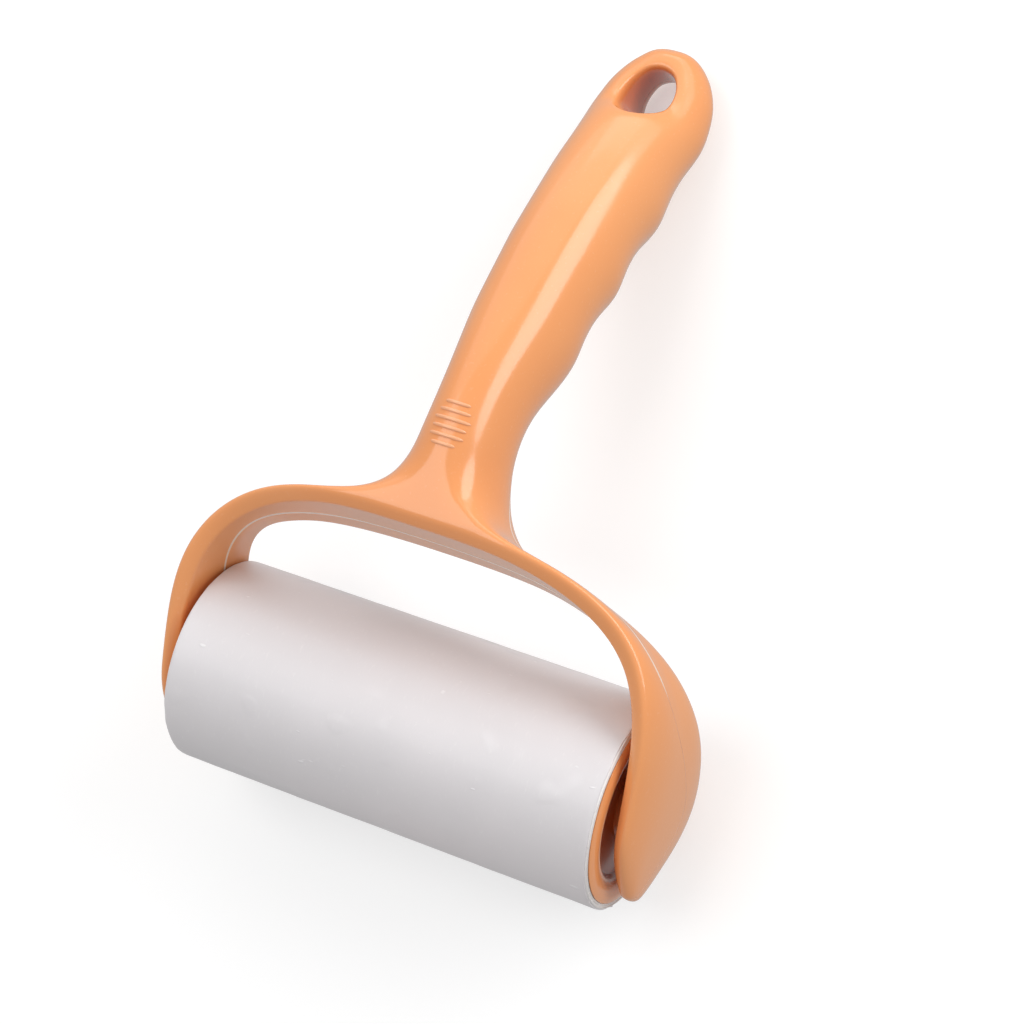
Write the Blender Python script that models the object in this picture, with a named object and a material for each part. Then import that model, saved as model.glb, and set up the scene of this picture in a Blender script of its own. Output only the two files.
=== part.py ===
"""Lint roller: a yoke handle of two moulded shells, two stub axles, and a roll of paper on two end caps.

Frame: +Z up, X along the roll axis, Y along the handle towards its tip. It lies on the roll and on the
handle's tip, thumb ribs up. The origin is below the middle of the bounding box, on the surface it lies on.
"""

import math

import bmesh
import bpy
import numpy as np
from mathutils import Matrix

MM = 0.001

# Overall
LENGTH = 180.0 * MM
ROLL_DIAMETER = 45.0 * MM
GAP = 0.3 * MM

# Roll
ROLL_LENGTH = 101.2 * MM
SHEET_THICKNESS = 0.4 * MM
SHEET_LAP_GAP = 0.6 * MM
CORE_BORE = 39.6 * MM
CORE_WALL = 0.9 * MM
CAP_DIAMETER = CORE_BORE - 2 * GAP
CAP_FACE = 2.4 * MM
CAP_SKIRT_WALL = 1.6 * MM
CAP_DEPTH = 13.0 * MM
HUB_DIAMETER = 13.0 * MM
HUB_BEYOND_AXLE = 3.0 * MM
HUB_FLOOR = 1.6 * MM
CAP_DISH = 0.8 * MM
CAP_RIM_WIDTH = 2.6 * MM
AXLE_DIAMETER = 6.0 * MM
AXLE_REACH = 9.0 * MM
AXLE_SEAT = 3.4 * MM
BOSS_DIAMETER = 14.0 * MM
BOSS_FACE = 51.4 * MM
CAP_FACE_X = 50.2 * MM
SHEET_EDGE_ANGLE = math.radians(200)

# Yoke: an arch whose inner line is a superellipse, seen along Z
ROLL_RADIUS = ROLL_DIAMETER / 2
AXLE_Y = -(LENGTH / 2 - ROLL_RADIUS)
YOKE_HALF_SPAN = 53.2 * MM
YOKE_RISE = 38.6 * MM
YOKE_EXPONENT = 3.15
LEAF_DROP = 18.2 * MM
STRAP_THICKNESS = 3.1 * MM
LEAF_THICKNESS = 4.6 * MM
STRAP_DRAFT = 0.10
YOKE_LEAN = 0.069
CORNER_RELIEF = 2.4 * MM
EDGE_BULGE = 0.6 * MM
LEAF_END_ROUND = 0.9 * MM
# Along the arch, from the strap's middle (0) to the leaf's lower end (1): heights of front and rear edges
YOKE_STATIONS = (0.0, 0.2, 0.36, 0.50, 0.62, 0.74, 0.84, 0.93, 1.0)
FRONT_EDGE = tuple(v * MM for v in (58.8, 58.7, 54.3, 49.4, 47.1, 43.2, 39.4, 35.5, 24.3))
REAR_EDGE = tuple(v * MM for v in (38.4, 38.8, 40.4, 33.6, 17.5, 5.7, 6.2, 11.5, 16.3))
# Arch fractions between which the strap becomes a leaf, and the leaf's thickness at its end
LEAF_BLEND_STATIONS = (0.0, 0.35, 0.60, 1.0)
LEAF_BLEND = (0.0, 0.0, 1.0, 1.0)
LEAF_END_STATIONS = (0.0, 0.9, 1.0)
LEAF_END_THINNING = (1.0, 1.0, 0.75)
RELIEF_STATIONS = (0.0, 0.38, 0.57, 0.74, 1.0)
RELIEF = (0.0, 0.0, 1.0, 0.0, 0.0)
# Section of the yoke, as shares: from the front edge to the rear edge, from the inner face outwards, bulge
SECTION_ACROSS = (0, 0, 0, 0.25, 0.5, 0.75, 1, 1, 1, 0.75, 0.5, 0.25)
SECTION_OUT = (0, 0.5, 0.86, 1.0, 1.0, 1.0, 0.82, 0.45, 0, 0, 0, 0)
SECTION_BULGE = (0, -1, 0, 0, 0, 0, 0, 1, 0, 0, 0, 0)

# Flare between the strap and the neck: how far its curves run on sideways, upwards and along the neck
FLARE_SIDEWAYS = 18.0 * MM
FLARE_UPWARDS = 12.0 * MM
FLARE_ALONG_NECK = 14.0 * MM
FLARE_RINGS = 2

# Handle: distance along Y from the axle, height of the centre line, half width and half depth
SPINE_Y = tuple(v * MM for v in (52.0, 58.0, 66.0, 86.0, 111.0, 130.0, 141.0, 150.0, 157.5))
SPINE_Z = tuple(v * MM for v in (45.9, 46.1, 44.6, 36.7, 25.2, 14.4, 9.2, 7.1, 5.9))
HALF_WIDTH = tuple(v * MM for v in (10.8, 10.0, 9.9, 12.1, 13.3, 13.6, 13.1, 11.0, 6.6))
HALF_DEPTH = tuple(v * MM for v in (12.6, 12.8, 12.9, 14.1, 14.0, 13.2, 10.4, 7.6, 4.9))
NECK_Y = 55.0 * MM
GROOVE_FIRST_Y = 85.2 * MM
GROOVE_PITCH = 17.7 * MM
GROOVE_COUNT = 3
GROOVE_DEPTH = 2.1 * MM
GROOVE_REACH_ROUND = 0.55
GROOVE_WAIST_SHARE = 0.7
NECK_SCALLOP_SHARE = 0.8
RING_FULLNESS = 1.016
TIP_Y = LENGTH - ROLL_RADIUS
TIP_RING_Y = TIP_Y - 2.25 * MM
TIP_DOME = 2.0 * MM
HOLE_Y = 144.6 * MM
HOLE_HALF_LENGTH = 6.9 * MM
HOLE_HALF_WIDTH = 5.4 * MM
HOLE_MOUTH_RIM = 1.5 * MM
HOLE_MOUTH_DEPTH = 1.2 * MM
HOLE_RING_SHARES = (-0.33, 0.36)
BEYOND_HOLE_Y = 151.6 * MM
NECK_RINGS_Y = (59.0 * MM, 65.0 * MM, 72.0 * MM, 79.0 * MM)
HANDLE_WALL = 2.6 * MM
CAVITY_Y = tuple(v * MM for v in (62.0, 72.0, 84.0, 97.0, 110.0, 122.0, 131.0))

# Thumb ribs
RIB_PITCH = 1.76 * MM
RIB_FIRST_Y = 57.6 * MM
RIB_HALF_LENGTHS = tuple(v * MM for v in (2.8, 3.9, 3.9, 4.2, 3.6, 2.9))
RIB_RADIUS = 0.55 * MM
RIB_SUNK = 0.3 * MM

# Parting line between the shells, side view: distance along Y from the axle, and height
PARTING_Y = tuple(v * MM for v in (-40, -16, -11, -4, 3, 10, 18, 25, 33, 41,
                                   50, 57, 66, 86, 111, 130, 141, 150, 170))
PARTING_Z = tuple(v * MM for v in (21.6, 20.0, 17.4, 14.9, 15.9, 22.9, 32.7, 39.6, 45.0, 46.8,
                                   42.2, 38.2, 35.0, 27.2, 16.1, 7.5, 4.2, 3.6, 3.4))
PARTING_STEPS = 60

# Joining pegs, distances along Y from the axle
PEG_Y = (72.0 * MM, 98.0 * MM, 124.0 * MM)
PEG_DIAMETER = 3.0 * MM
PEG_LENGTH = 6.0 * MM
SOCKET_WALL = 1.2 * MM
SOCKET_BELOW_SURFACE = 1.75 * MM
PEG_ABOVE_BACK = 1.0 * MM
BORE_BEYOND = 1.0 * MM

# Colours (linear) of the plastics and papers
ORANGE = (0.87, 0.36, 0.14)
NATURAL = (0.80, 0.78, 0.74)
BOARD = (0.55, 0.46, 0.36)
PAPER = (0.80, 0.78, 0.79)

# Cutters reach past the part by these amounts
CUTTER_HALF_WIDTH = 80.0 * MM
BLOCK_TOP = 100.0 * MM
BLOCK_BOTTOM = -50.0 * MM
FLOOR_BLOCK = 10.0 * MM

# Faces of the skin's coarse grid, and how often it is subdivided
SKIN_LEVEL = 1
SIDE_FACES = 6
FLANK_FACES = 4
YOKE_FACES = 26
SECTION_FACES = 12


def curve_through(knots, values, at):
    """Smooth curve through the knots: a cubic Hermite whose slopes are the central differences."""
    knots = np.asarray(knots, float)
    values = np.asarray(values, float)
    at = np.clip(np.asarray(at, float), knots[0], knots[-1])
    slopes = np.gradient(values, knots)
    k = np.clip(np.searchsorted(knots, at, side="right") - 1, 0, len(knots) - 2)
    span = knots[k + 1] - knots[k]
    u = (at - knots[k]) / span
    return (
        (2 * u**3 - 3 * u**2 + 1) * values[k]
        + (u**3 - 2 * u**2 + u) * span * slopes[k]
        + (3 * u**2 - 2 * u**3) * values[k + 1]
        + (u**3 - u**2) * span * slopes[k + 1]
    )


def arch(count):
    """Inner line of the arch from the left leaf's end to the right one's: x, y and outward normals."""
    angle = np.linspace(math.pi / 2, 0.0, 400)
    x = YOKE_HALF_SPAN * np.cos(angle).clip(0) ** (2 / YOKE_EXPONENT)
    y = YOKE_RISE * np.sin(angle).clip(0) ** (2 / YOKE_EXPONENT)
    drop = np.linspace(0, LEAF_DROP, 60)[1:]
    x = np.append(x, np.full_like(drop, YOKE_HALF_SPAN))
    y = np.append(y, -drop)
    run = np.append(0, np.cumsum(np.hypot(np.diff(x), np.diff(y))))
    run /= run[-1]
    q = np.linspace(-1, 1, count + 1)
    px = np.interp(abs(q), run, x) * np.where(q < 0, -1, 1)
    py = np.interp(abs(q), run, y)
    tx = np.gradient(px)
    ty = np.gradient(py)
    size = np.hypot(tx, ty)
    return q, px, py, -ty / size, tx / size


def yoke_rings(count):
    """Section loops of the yoke: two faces across the front, four outside, two at the rear, four inside."""
    q, px, py, nx, ny = arch(count)
    front = curve_through(YOKE_STATIONS, FRONT_EDGE, abs(q))
    rear = curve_through(YOKE_STATIONS, REAR_EDGE, abs(q))
    leaf = curve_through(LEAF_BLEND_STATIONS, LEAF_BLEND, abs(q)).clip(0, 1)
    thick = STRAP_THICKNESS + (LEAF_THICKNESS - STRAP_THICKNESS) * leaf
    thick = thick * curve_through(LEAF_END_STATIONS, LEAF_END_THINNING, abs(q))
    across = np.array(SECTION_ACROSS)
    out = np.array(SECTION_OUT)
    bulge = np.array(SECTION_BULGE) * EDGE_BULGE
    z = front[:, None] + (rear - front)[:, None] * across[None] - bulge[None]
    middle = (front + rear)[:, None] / 2
    offset = thick[:, None] * out[None] + STRAP_DRAFT * (1 - leaf)[:, None] * (z - middle)
    corner = curve_through(RELIEF_STATIONS, RELIEF, abs(q)).clip(0, 1)
    behind = ((middle - z) / (front - rear)[:, None] * 2).clip(0, 1)
    offset = offset + CORNER_RELIEF * corner[:, None] * behind
    x = px[:, None] + nx[:, None] * offset
    y = py[:, None] + ny[:, None] * offset + YOKE_LEAN * (z - middle)
    return np.stack([x, y, z], axis=2)


def ring_angles():
    """Angles of the handle's ring points: front side left to right, right flank, rear side, left flank."""
    front = np.linspace(135, 45, SIDE_FACES + 1)[:-1]
    right = np.linspace(45, -45, FLANK_FACES + 1)[:-1]
    rear = np.linspace(-45, -135, SIDE_FACES + 1)[:-1]
    left = np.linspace(-135, -225, FLANK_FACES + 1)[:-1]
    return np.radians(np.concatenate([front, right, rear, left]))


def spine(y):
    """Centre line height and unit tangent of the handle at distance y from the axle."""
    z = curve_through(SPINE_Y, SPINE_Z, y)
    step = 0.5 * MM
    rise = curve_through(SPINE_Y, SPINE_Z, y + step) - curve_through(SPINE_Y, SPINE_Z, y - step)
    slope = rise / (2 * step)
    size = np.sqrt(1 + slope**2)
    return z, 1 / size, slope / size


def groove(y):
    """Scallops between the ridges on the handle's back: the absolute value of a sine."""
    phase = (y - GROOVE_FIRST_Y) / GROOVE_PITCH
    inside = (phase > 0) & (phase < GROOVE_COUNT)
    scallop = GROOVE_DEPTH * abs(np.sin(math.pi * phase)) * inside
    last = (y - NECK_Y) / (GROOVE_FIRST_Y - NECK_Y)
    long_one = NECK_SCALLOP_SHARE * GROOVE_DEPTH * np.sin(math.pi * last.clip(0, 1)) ** 2
    return scallop + long_one


def handle_ring(y, inset=0.0):
    """One ring of the handle at distance y: an ellipse across the spine, the grooves cut on its back."""
    theta = ring_angles()
    y = np.full_like(theta, y)
    z, ty, tz = spine(y)
    half_width = curve_through(SPINE_Y, HALF_WIDTH, y) - inset
    half_depth = curve_through(SPINE_Y, HALF_DEPTH, y) - inset
    back = (-np.sin(theta) + GROOVE_REACH_ROUND).clip(0, 1)
    half_depth = half_depth - groove(y) * back
    half_width = half_width - GROOVE_WAIST_SHARE * groove(y) * back
    x = half_width * RING_FULLNESS * np.cos(theta)
    n = half_depth * RING_FULLNESS * np.sin(theta)
    return np.stack([x, y - n * tz, z + n * ty], axis=1)


def grid_between(loop, columns, rows):
    """Points inside a loop of 2 * (columns + rows) points, blended from its sides (a Coons patch)."""
    bottom = loop[: columns + 1]
    right = loop[columns : columns + rows + 1]
    top = loop[columns + rows : 2 * columns + rows + 1][::-1]
    left = np.concatenate([loop[2 * columns + rows :], loop[:1]])[::-1]
    u = np.linspace(0, 1, columns + 1)[:, None, None]
    v = np.linspace(0, 1, rows + 1)[None, :, None]
    ruled = (1 - v) * bottom[:, None] + v * top[:, None] + (1 - u) * left[None] + u * right[None]
    corners = (1 - v) * ((1 - u) * bottom[0] + u * bottom[-1]) + v * ((1 - u) * top[0] + u * top[-1])
    return ruled - corners


class Skin:
    """Collects points and four-sided faces, and makes them one mesh."""

    def __init__(self):
        self.points = []
        self.faces = []

    def add(self, points):
        start = len(self.points)
        self.points.extend(tuple(map(float, p)) for p in points)
        return list(range(start, len(self.points)))

    def bridge(self, first, second):
        for k in range(len(first)):
            n = (k + 1) % len(first)
            self.faces.append((first[k], first[n], second[n], second[k]))

    def fill(self, loop, columns, rows, lift):
        """Closes a loop with a grid of four-sided faces, its inner points moved by lift."""
        grid = grid_between(np.array([self.points[i] for i in loop]), columns, rows)
        index = np.zeros((columns + 1, rows + 1), int)
        index[:, 0] = loop[: columns + 1]
        index[columns, :] = loop[columns : columns + rows + 1]
        index[:, rows] = loop[columns + rows : 2 * columns + rows + 1][::-1]
        index[0, 1:] = (loop[2 * columns + rows :] + loop[:1])[::-1][1:]
        for i in range(1, columns):
            for j in range(1, rows):
                index[i, j] = self.add([grid[i, j] + lift])[0]
        for i in range(columns):
            for j in range(rows):
                self.faces.append((index[i, j], index[i + 1, j], index[i + 1, j + 1], index[i, j + 1]))
        return index

    def mesh(self, name):
        data = bpy.data.meshes.new(name)
        data.from_pydata(self.points, [], self.faces)
        work = bmesh.new()
        work.from_mesh(data)
        loose = [v for v in work.verts if not v.link_faces]
        bmesh.ops.delete(work, geom=loose, context="VERTS")
        bmesh.ops.recalc_face_normals(work, faces=work.faces)
        work.to_mesh(data)
        work.free()
        data.shade_smooth()
        return data


def flare_rings(first, neck, count):
    """Rings from the strap up to the neck: a Hermite curve per point, leaving the strap along its top."""
    reach = abs(first[:, 0]).max()
    side = first[:, 0] / reach
    leave = np.stack([-FLARE_SIDEWAYS * side, FLARE_UPWARDS * (1 - side**2), np.zeros_like(side)], axis=1)
    _, ty, tz = spine(NECK_Y)
    arrive = np.array([0, ty, tz]) * FLARE_ALONG_NECK
    rings = []
    for k in range(1, count + 1):
        u = k / (count + 1)
        rings.append(
            (2 * u**3 - 3 * u**2 + 1) * first
            + (u**3 - 2 * u**2 + u) * leave
            + (3 * u**2 - 2 * u**3) * neck
            + (u**3 - u**2) * arrive
        )
    return rings


def body_skin():
    """Skin of the whole handle and yoke, before it is split into shells."""
    skin = Skin()
    rings = yoke_rings(YOKE_FACES)
    yoke = [skin.add(ring) for ring in rings]
    left = YOKE_FACES // 2 - SIDE_FACES // 2
    right = left + SIDE_FACES
    for i in range(YOKE_FACES):
        for j in range(SECTION_FACES):
            if left <= i < right and 2 <= j < 6:
                continue
            n = (j + 1) % SECTION_FACES
            skin.faces.append((yoke[i][j], yoke[i + 1][j], yoke[i + 1][n], yoke[i][n]))
    for end in (yoke[0], yoke[YOKE_FACES]):
        loop = [end[j % SECTION_FACES] for j in range(2, 2 + SECTION_FACES)]
        skin.fill(loop, FLANK_FACES, 2, np.array([0, -LEAF_END_ROUND, 0]))
    loop = [yoke[i][2] for i in range(left, right + 1)]
    loop += [yoke[right][j] for j in (3, 4, 5, 6)]
    loop += [yoke[i][6] for i in range(right - 1, left - 1, -1)]
    loop += [yoke[left][j] for j in (5, 4, 3)]
    neck = handle_ring(NECK_Y)
    last = loop
    for ring in flare_rings(np.array([skin.points[i] for i in loop]), neck, FLARE_RINGS):
        new = skin.add(ring)
        skin.bridge(last, new)
        last = new
    quarter = GROOVE_PITCH / 4
    stations = [NECK_Y, *NECK_RINGS_Y]
    stations += [GROOVE_FIRST_Y + k * quarter for k in range(4 * GROOVE_COUNT + 1)]
    hole_first = len(stations) - 1
    stations += [HOLE_Y + HOLE_HALF_LENGTH * share for share in HOLE_RING_SHARES]
    stations += [BEYOND_HOLE_Y, TIP_RING_Y]
    handle = []
    for y in stations:
        new = skin.add(handle_ring(y))
        handle.append(new)
    front_face = range(1, 1 + FLANK_FACES)
    rear_face = range(SIDE_FACES + FLANK_FACES + 1, SIDE_FACES + 2 * FLANK_FACES + 1)
    ring_size = len(last)
    for k, new in enumerate(handle):
        previous = last if k == 0 else handle[k - 1]
        in_hole = hole_first < k <= hole_first + 3
        for r in range(ring_size):
            if in_hole and (r in front_face or r in rear_face):
                continue
            n = (r + 1) % ring_size
            skin.faces.append((previous[r], previous[n], new[n], new[r]))
    add_hole(skin, handle[hole_first : hole_first + 4])
    _, ty, tz = spine(TIP_Y)
    skin.fill(handle[-1], SIDE_FACES, FLANK_FACES, np.array([0, ty, tz]) * TIP_DOME)
    return skin


def block_loop(rows, columns):
    """Points around a block of faces: along the first row, up the last column, back and down."""
    loop = [rows[0][c] for c in columns]
    loop += [row[columns[-1]] for row in rows[1:]]
    loop += [rows[-1][c] for c in columns[-2::-1]]
    loop += [row[columns[0]] for row in rows[-2:0:-1]]
    return loop


def add_hole(skin, rows):
    """Bridges the front and rear openings with a straight oval tube along Z."""
    front = block_loop(rows, list(range(1, 2 + FLANK_FACES)))
    base = SIDE_FACES + FLANK_FACES
    rear = block_loop(rows, list(range(base + SIDE_FACES - 1, base, -1)))
    loops = []
    for loop, way in ((front, 1), (rear, -1)):
        points = np.array([skin.points[i] for i in loop])
        angle = np.arctan2((points[:, 1] - HOLE_Y) / HOLE_HALF_LENGTH, points[:, 0] / HOLE_HALF_WIDTH)
        x = (HOLE_HALF_WIDTH + HOLE_MOUTH_RIM) * np.cos(angle)
        y = HOLE_Y + (HOLE_HALF_LENGTH + HOLE_MOUTH_RIM) * np.sin(angle)
        z = handle_surface(x, y, way)
        for i, p in zip(loop, np.stack([x, y, z], axis=1)):
            skin.points[i] = tuple(map(float, p))
        inner_x = HOLE_HALF_WIDTH * np.cos(angle)
        inner_y = HOLE_Y + HOLE_HALF_LENGTH * np.sin(angle)
        inner_z = handle_surface(inner_x, inner_y, way) - way * HOLE_MOUTH_DEPTH
        mouth = skin.add(np.stack([inner_x, inner_y, inner_z], axis=1))
        if way > 0:
            skin.bridge(loop, mouth)
        else:
            skin.bridge(mouth, loop)
        loops.append(mouth)
    skin.bridge(loops[0], loops[1])


def handle_surface(x, y, way):
    """Height of the handle's front (way 1) or back (way -1) surface above the point x, y."""
    z, ty, tz = spine(y)
    half_width = curve_through(SPINE_Y, HALF_WIDTH, y)
    half_depth = curve_through(SPINE_Y, HALF_DEPTH, y)
    return z + way * half_depth * np.sqrt((1 - (x / half_width) ** 2).clip(0.02)) / ty


def paint(obj, name, colour, roughness):
    material = bpy.data.materials.new(name)
    material.use_nodes = True
    shader = material.node_tree.nodes["Principled BSDF"]
    shader.inputs["Base Color"].default_value = (*colour, 1.0)
    shader.inputs["Roughness"].default_value = roughness
    shader.inputs["Metallic"].default_value = 0.0
    obj.data.materials.append(material)


def add_object(name, data):
    obj = bpy.data.objects.new(name, data)
    bpy.context.collection.objects.link(obj)
    return obj


def ring_object(name, profile, sides, cutter=False):
    """Turns a closed profile of (x, radius) points about the roll's axis, as an object on that axis."""
    angle = np.linspace(0, 2 * math.pi, sides, endpoint=False)
    profile = np.array(profile, float)
    count = len(profile)
    on_axis = [k for k in range(count) if profile[k, 1] < 1e-7]
    work = bmesh.new()
    rows = []
    for k in range(count):
        if k in on_axis:
            rows.append([work.verts.new((profile[k, 0], 0, 0))] * sides)
            continue
        radius = profile[k, 1]
        circle = [(profile[k, 0], radius * math.cos(t), radius * math.sin(t)) for t in angle]
        rows.append([work.verts.new(point) for point in circle])
    pairs = list(zip(range(count), list(range(1, count)) + [0]))
    for k, n in pairs:
        if k in on_axis and n in on_axis:
            continue
        for i in range(sides):
            j = (i + 1) % sides
            corners = [rows[k][i], rows[n][i], rows[n][j], rows[k][j]]
            face = [v for m, v in enumerate(corners) if v not in corners[:m]]
            work.faces.new(face)
    bmesh.ops.recalc_face_normals(work, faces=work.faces)
    data = bpy.data.meshes.new(name)
    work.to_mesh(data)
    work.free()
    data.shade_smooth()
    data.set_sharp_from_angle(angle=math.radians(35))
    obj = add_object(name, data)
    obj.location = (0, AXLE_Y, ROLL_RADIUS)
    if cutter:
        hide(obj)
    return obj


def hide(obj):
    obj.hide_render = True
    obj.display_type = "WIRE"
    return obj


def cut(obj, other, operation):
    step = obj.modifiers.new(f"{operation.lower()} {other.name}", "BOOLEAN")
    step.operation = operation
    step.object = other


def parting_block(name, side):
    """A block on one side of the parting line: its side-view outline, carried across the whole width."""
    y = np.linspace(PARTING_Y[0], PARTING_Y[-1], PARTING_STEPS)
    z = curve_through(PARTING_Y, PARTING_Z, y) + side * GAP / 2
    far = BLOCK_TOP if side > 0 else BLOCK_BOTTOM
    outline = list(zip(y, z)) + [(y[-1], far), (y[0], far)]
    work = bmesh.new()
    face = work.faces.new([work.verts.new((-CUTTER_HALF_WIDTH, py, pz)) for py, pz in outline])
    grown = bmesh.ops.extrude_face_region(work, geom=[face])
    moved = [item for item in grown["geom"] if isinstance(item, bmesh.types.BMVert)]
    bmesh.ops.translate(work, verts=moved, vec=(2 * CUTTER_HALF_WIDTH, 0, 0))
    bmesh.ops.recalc_face_normals(work, faces=work.faces)
    data = bpy.data.meshes.new(name)
    work.to_mesh(data)
    work.free()
    obj = hide(add_object(name, data))
    obj.location = (0, AXLE_Y, 0)
    return obj


def cavity():
    """Hollow of the handle: the handle's rings, smaller by the wall, closed at both ends."""
    work = Skin()
    loops = [work.add(handle_ring(y, HANDLE_WALL)[::2]) for y in CAVITY_Y]
    for first, second in zip(loops[:-1], loops[1:]):
        work.bridge(first, second)
    work.faces.append(tuple(loops[0][::-1]))
    work.faces.append(tuple(loops[-1]))
    obj = hide(add_object("handle_cavity", work.mesh("handle_cavity")))
    obj.location = (0, AXLE_Y, 0)
    return obj


def rod(name, radius, low, high, sides=20):
    """An upright round rod on the handle's middle plane, between two heights."""
    data = bpy.data.meshes.new(name)
    work = bmesh.new()
    bmesh.ops.create_cone(work, cap_ends=True, segments=sides, radius1=radius, radius2=radius,
                          depth=high - low)
    bmesh.ops.translate(work, verts=work.verts, vec=(0, 0, (high + low) / 2))
    work.to_mesh(data)
    work.free()
    return hide(add_object(name, data))


def thumb_ribs():
    """Six low bars across the front of the neck, each a round-ended rod half sunk in the surface."""
    bars = []
    for k, half in enumerate(RIB_HALF_LENGTHS):
        y = RIB_FIRST_Y + k * RIB_PITCH
        z = handle_surface(np.array([0.0]), np.array([y]), 1)[0]
        data = bpy.data.meshes.new(f"rib_{k + 1}")
        work = bmesh.new()
        bmesh.ops.create_cone(work, cap_ends=True, segments=10, radius1=RIB_RADIUS, radius2=RIB_RADIUS,
                              depth=2 * half)
        bmesh.ops.rotate(work, verts=work.verts, matrix=Matrix.Rotation(math.pi / 2, 3, "Y"))
        work.to_mesh(data)
        work.free()
        bar = hide(add_object(f"rib_{k + 1}", data))
        bar.location = (0, AXLE_Y + y, z - RIB_SUNK)
        bars.append(bar)
    return bars


def shells(skin):
    """Front shell with bosses, sockets and ribs, and rear shell with the pegs that enter the sockets."""
    data = skin.mesh("handle_skin")
    hollow = cavity()
    made = []
    for name, side in (("front_shell", 1), ("rear_shell", -1)):
        shell = add_object(name, data.copy())
        shell.location = (0, AXLE_Y, 0)
        smooth = shell.modifiers.new("smooth", "SUBSURF")
        smooth.levels = SKIN_LEVEL
        smooth.render_levels = SKIN_LEVEL
        cut(shell, hollow, "DIFFERENCE")
        cut(shell, parting_block(f"{name}_side", side), "INTERSECT")
        made.append(shell)
    front, rear = made
    for bar in thumb_ribs():
        cut(front, bar, "UNION")
    for k, y in enumerate(PEG_Y, start=1):
        top = float(handle_surface(np.array([0.0]), np.array([y]), 1)[0]) - SOCKET_BELOW_SURFACE
        back = float(handle_surface(np.array([0.0]), np.array([y]), -1)[0])
        bottom = back + GROOVE_DEPTH + PEG_ABOVE_BACK
        seam = float(curve_through(PARTING_Y, PARTING_Z, y))
        post_radius = PEG_DIAMETER / 2 + GAP + SOCKET_WALL
        uphill_seam = float(curve_through(PARTING_Y, PARTING_Z, y - post_radius))
        post = rod(f"socket_{k}_post", post_radius, uphill_seam + GAP, top)
        bore = rod(f"socket_{k}_bore", PEG_DIAMETER / 2 + GAP, seam - BORE_BEYOND,
                   seam + PEG_LENGTH + BORE_BEYOND)
        peg = rod(f"peg_{k}", PEG_DIAMETER / 2, bottom, seam + PEG_LENGTH)
        for item in (post, bore, peg):
            item.location = (0, AXLE_Y + y, 0)
        cut(front, post, "UNION")
        cut(front, bore, "DIFFERENCE")
        cut(rear, peg, "UNION")
    cut(rear, box("rest_flat", (0, 0, -FLOOR_BLOCK / 2), (LENGTH, 2 * LENGTH, FLOOR_BLOCK)), "DIFFERENCE")
    for side in (-1, 1):
        tag = "right" if side > 0 else "left"
        inner = side * BOSS_FACE
        outer = side * (YOKE_HALF_SPAN + LEAF_THICKNESS / 2)
        boss_radius = BOSS_DIAMETER / 2
        outline = [(inner, 0), (inner, boss_radius), (outer, boss_radius), (outer, 0)]
        boss = ring_object(f"{tag}_boss", outline, 32, cutter=True)
        mouth = side * (BOSS_FACE - BORE_BEYOND)
        floor = side * (BOSS_FACE + AXLE_SEAT)
        seat_radius = AXLE_DIAMETER / 2 + GAP
        outline = [(mouth, 0), (mouth, seat_radius), (floor, seat_radius), (floor, 0)]
        seat = ring_object(f"{tag}_seat", outline, 24, cutter=True)
        cut(front, boss, "UNION")
        cut(front, seat, "DIFFERENCE")
    return front, rear


def box(name, centre, size):
    """A hidden rectangular cutter."""
    data = bpy.data.meshes.new(name)
    work = bmesh.new()
    bmesh.ops.create_cube(work, size=1.0)
    bmesh.ops.scale(work, verts=work.verts, vec=size)
    work.to_mesh(data)
    work.free()
    obj = hide(add_object(name, data))
    obj.location = centre
    return obj


def stub_axle(tag, side):
    """Round stub seated in the arm's boss, with a rounded nose inside the end cap's hub."""
    r = AXLE_DIAMETER / 2
    root = side * (BOSS_FACE + AXLE_SEAT - GAP)
    nose = side * (BOSS_FACE - AXLE_REACH)
    profile = [(root, 0), (root, r - 0.3 * MM), (root - side * 0.3 * MM, r), (nose + side * 1.2 * MM, r),
               (nose + side * 0.35 * MM, 0.7 * r), (nose, 0.3 * r), (nose, 0)]
    return ring_object(f"{tag}_stub_axle", profile, 24)


def end_cap(tag, side):
    """Plug for the core: a face with a rounded rim, a skirt inside the core and a hub for the stub axle."""
    face = side * CAP_FACE_X
    back = side * (CAP_FACE_X - CAP_FACE)
    deep = side * (CAP_FACE_X - CAP_DEPTH)
    hub_end = side * (BOSS_FACE - AXLE_REACH - HUB_BEYOND_AXLE)
    r = CAP_DIAMETER / 2
    dish = side * CAP_DISH
    bore = AXLE_DIAMETER / 2 + GAP
    hub = HUB_DIAMETER / 2
    profile = [
        (face, bore), (face, hub), (face - dish, hub + 1.0 * MM), (face - dish, r - CAP_RIM_WIDTH),
        (face, r - 1.8 * MM), (face, r - 0.9 * MM), (face - side * 0.35 * MM, r - 0.25 * MM),
        (face - side * 1.0 * MM, r), (deep, r), (deep, r - CAP_SKIRT_WALL),
        (back - dish, r - CAP_SKIRT_WALL), (back - dish, hub), (hub_end, hub), (hub_end, 0),
        (hub_end + side * HUB_FLOOR, 0),
        (hub_end + side * HUB_FLOOR, bore),
    ]
    return ring_object(f"{tag}_end_cap", profile, 48)


def tube(name, inner, outer, length, sides):
    half = length / 2
    return ring_object(name, [(-half, inner), (half, inner), (half, outer), (-half, outer)], sides)


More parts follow.
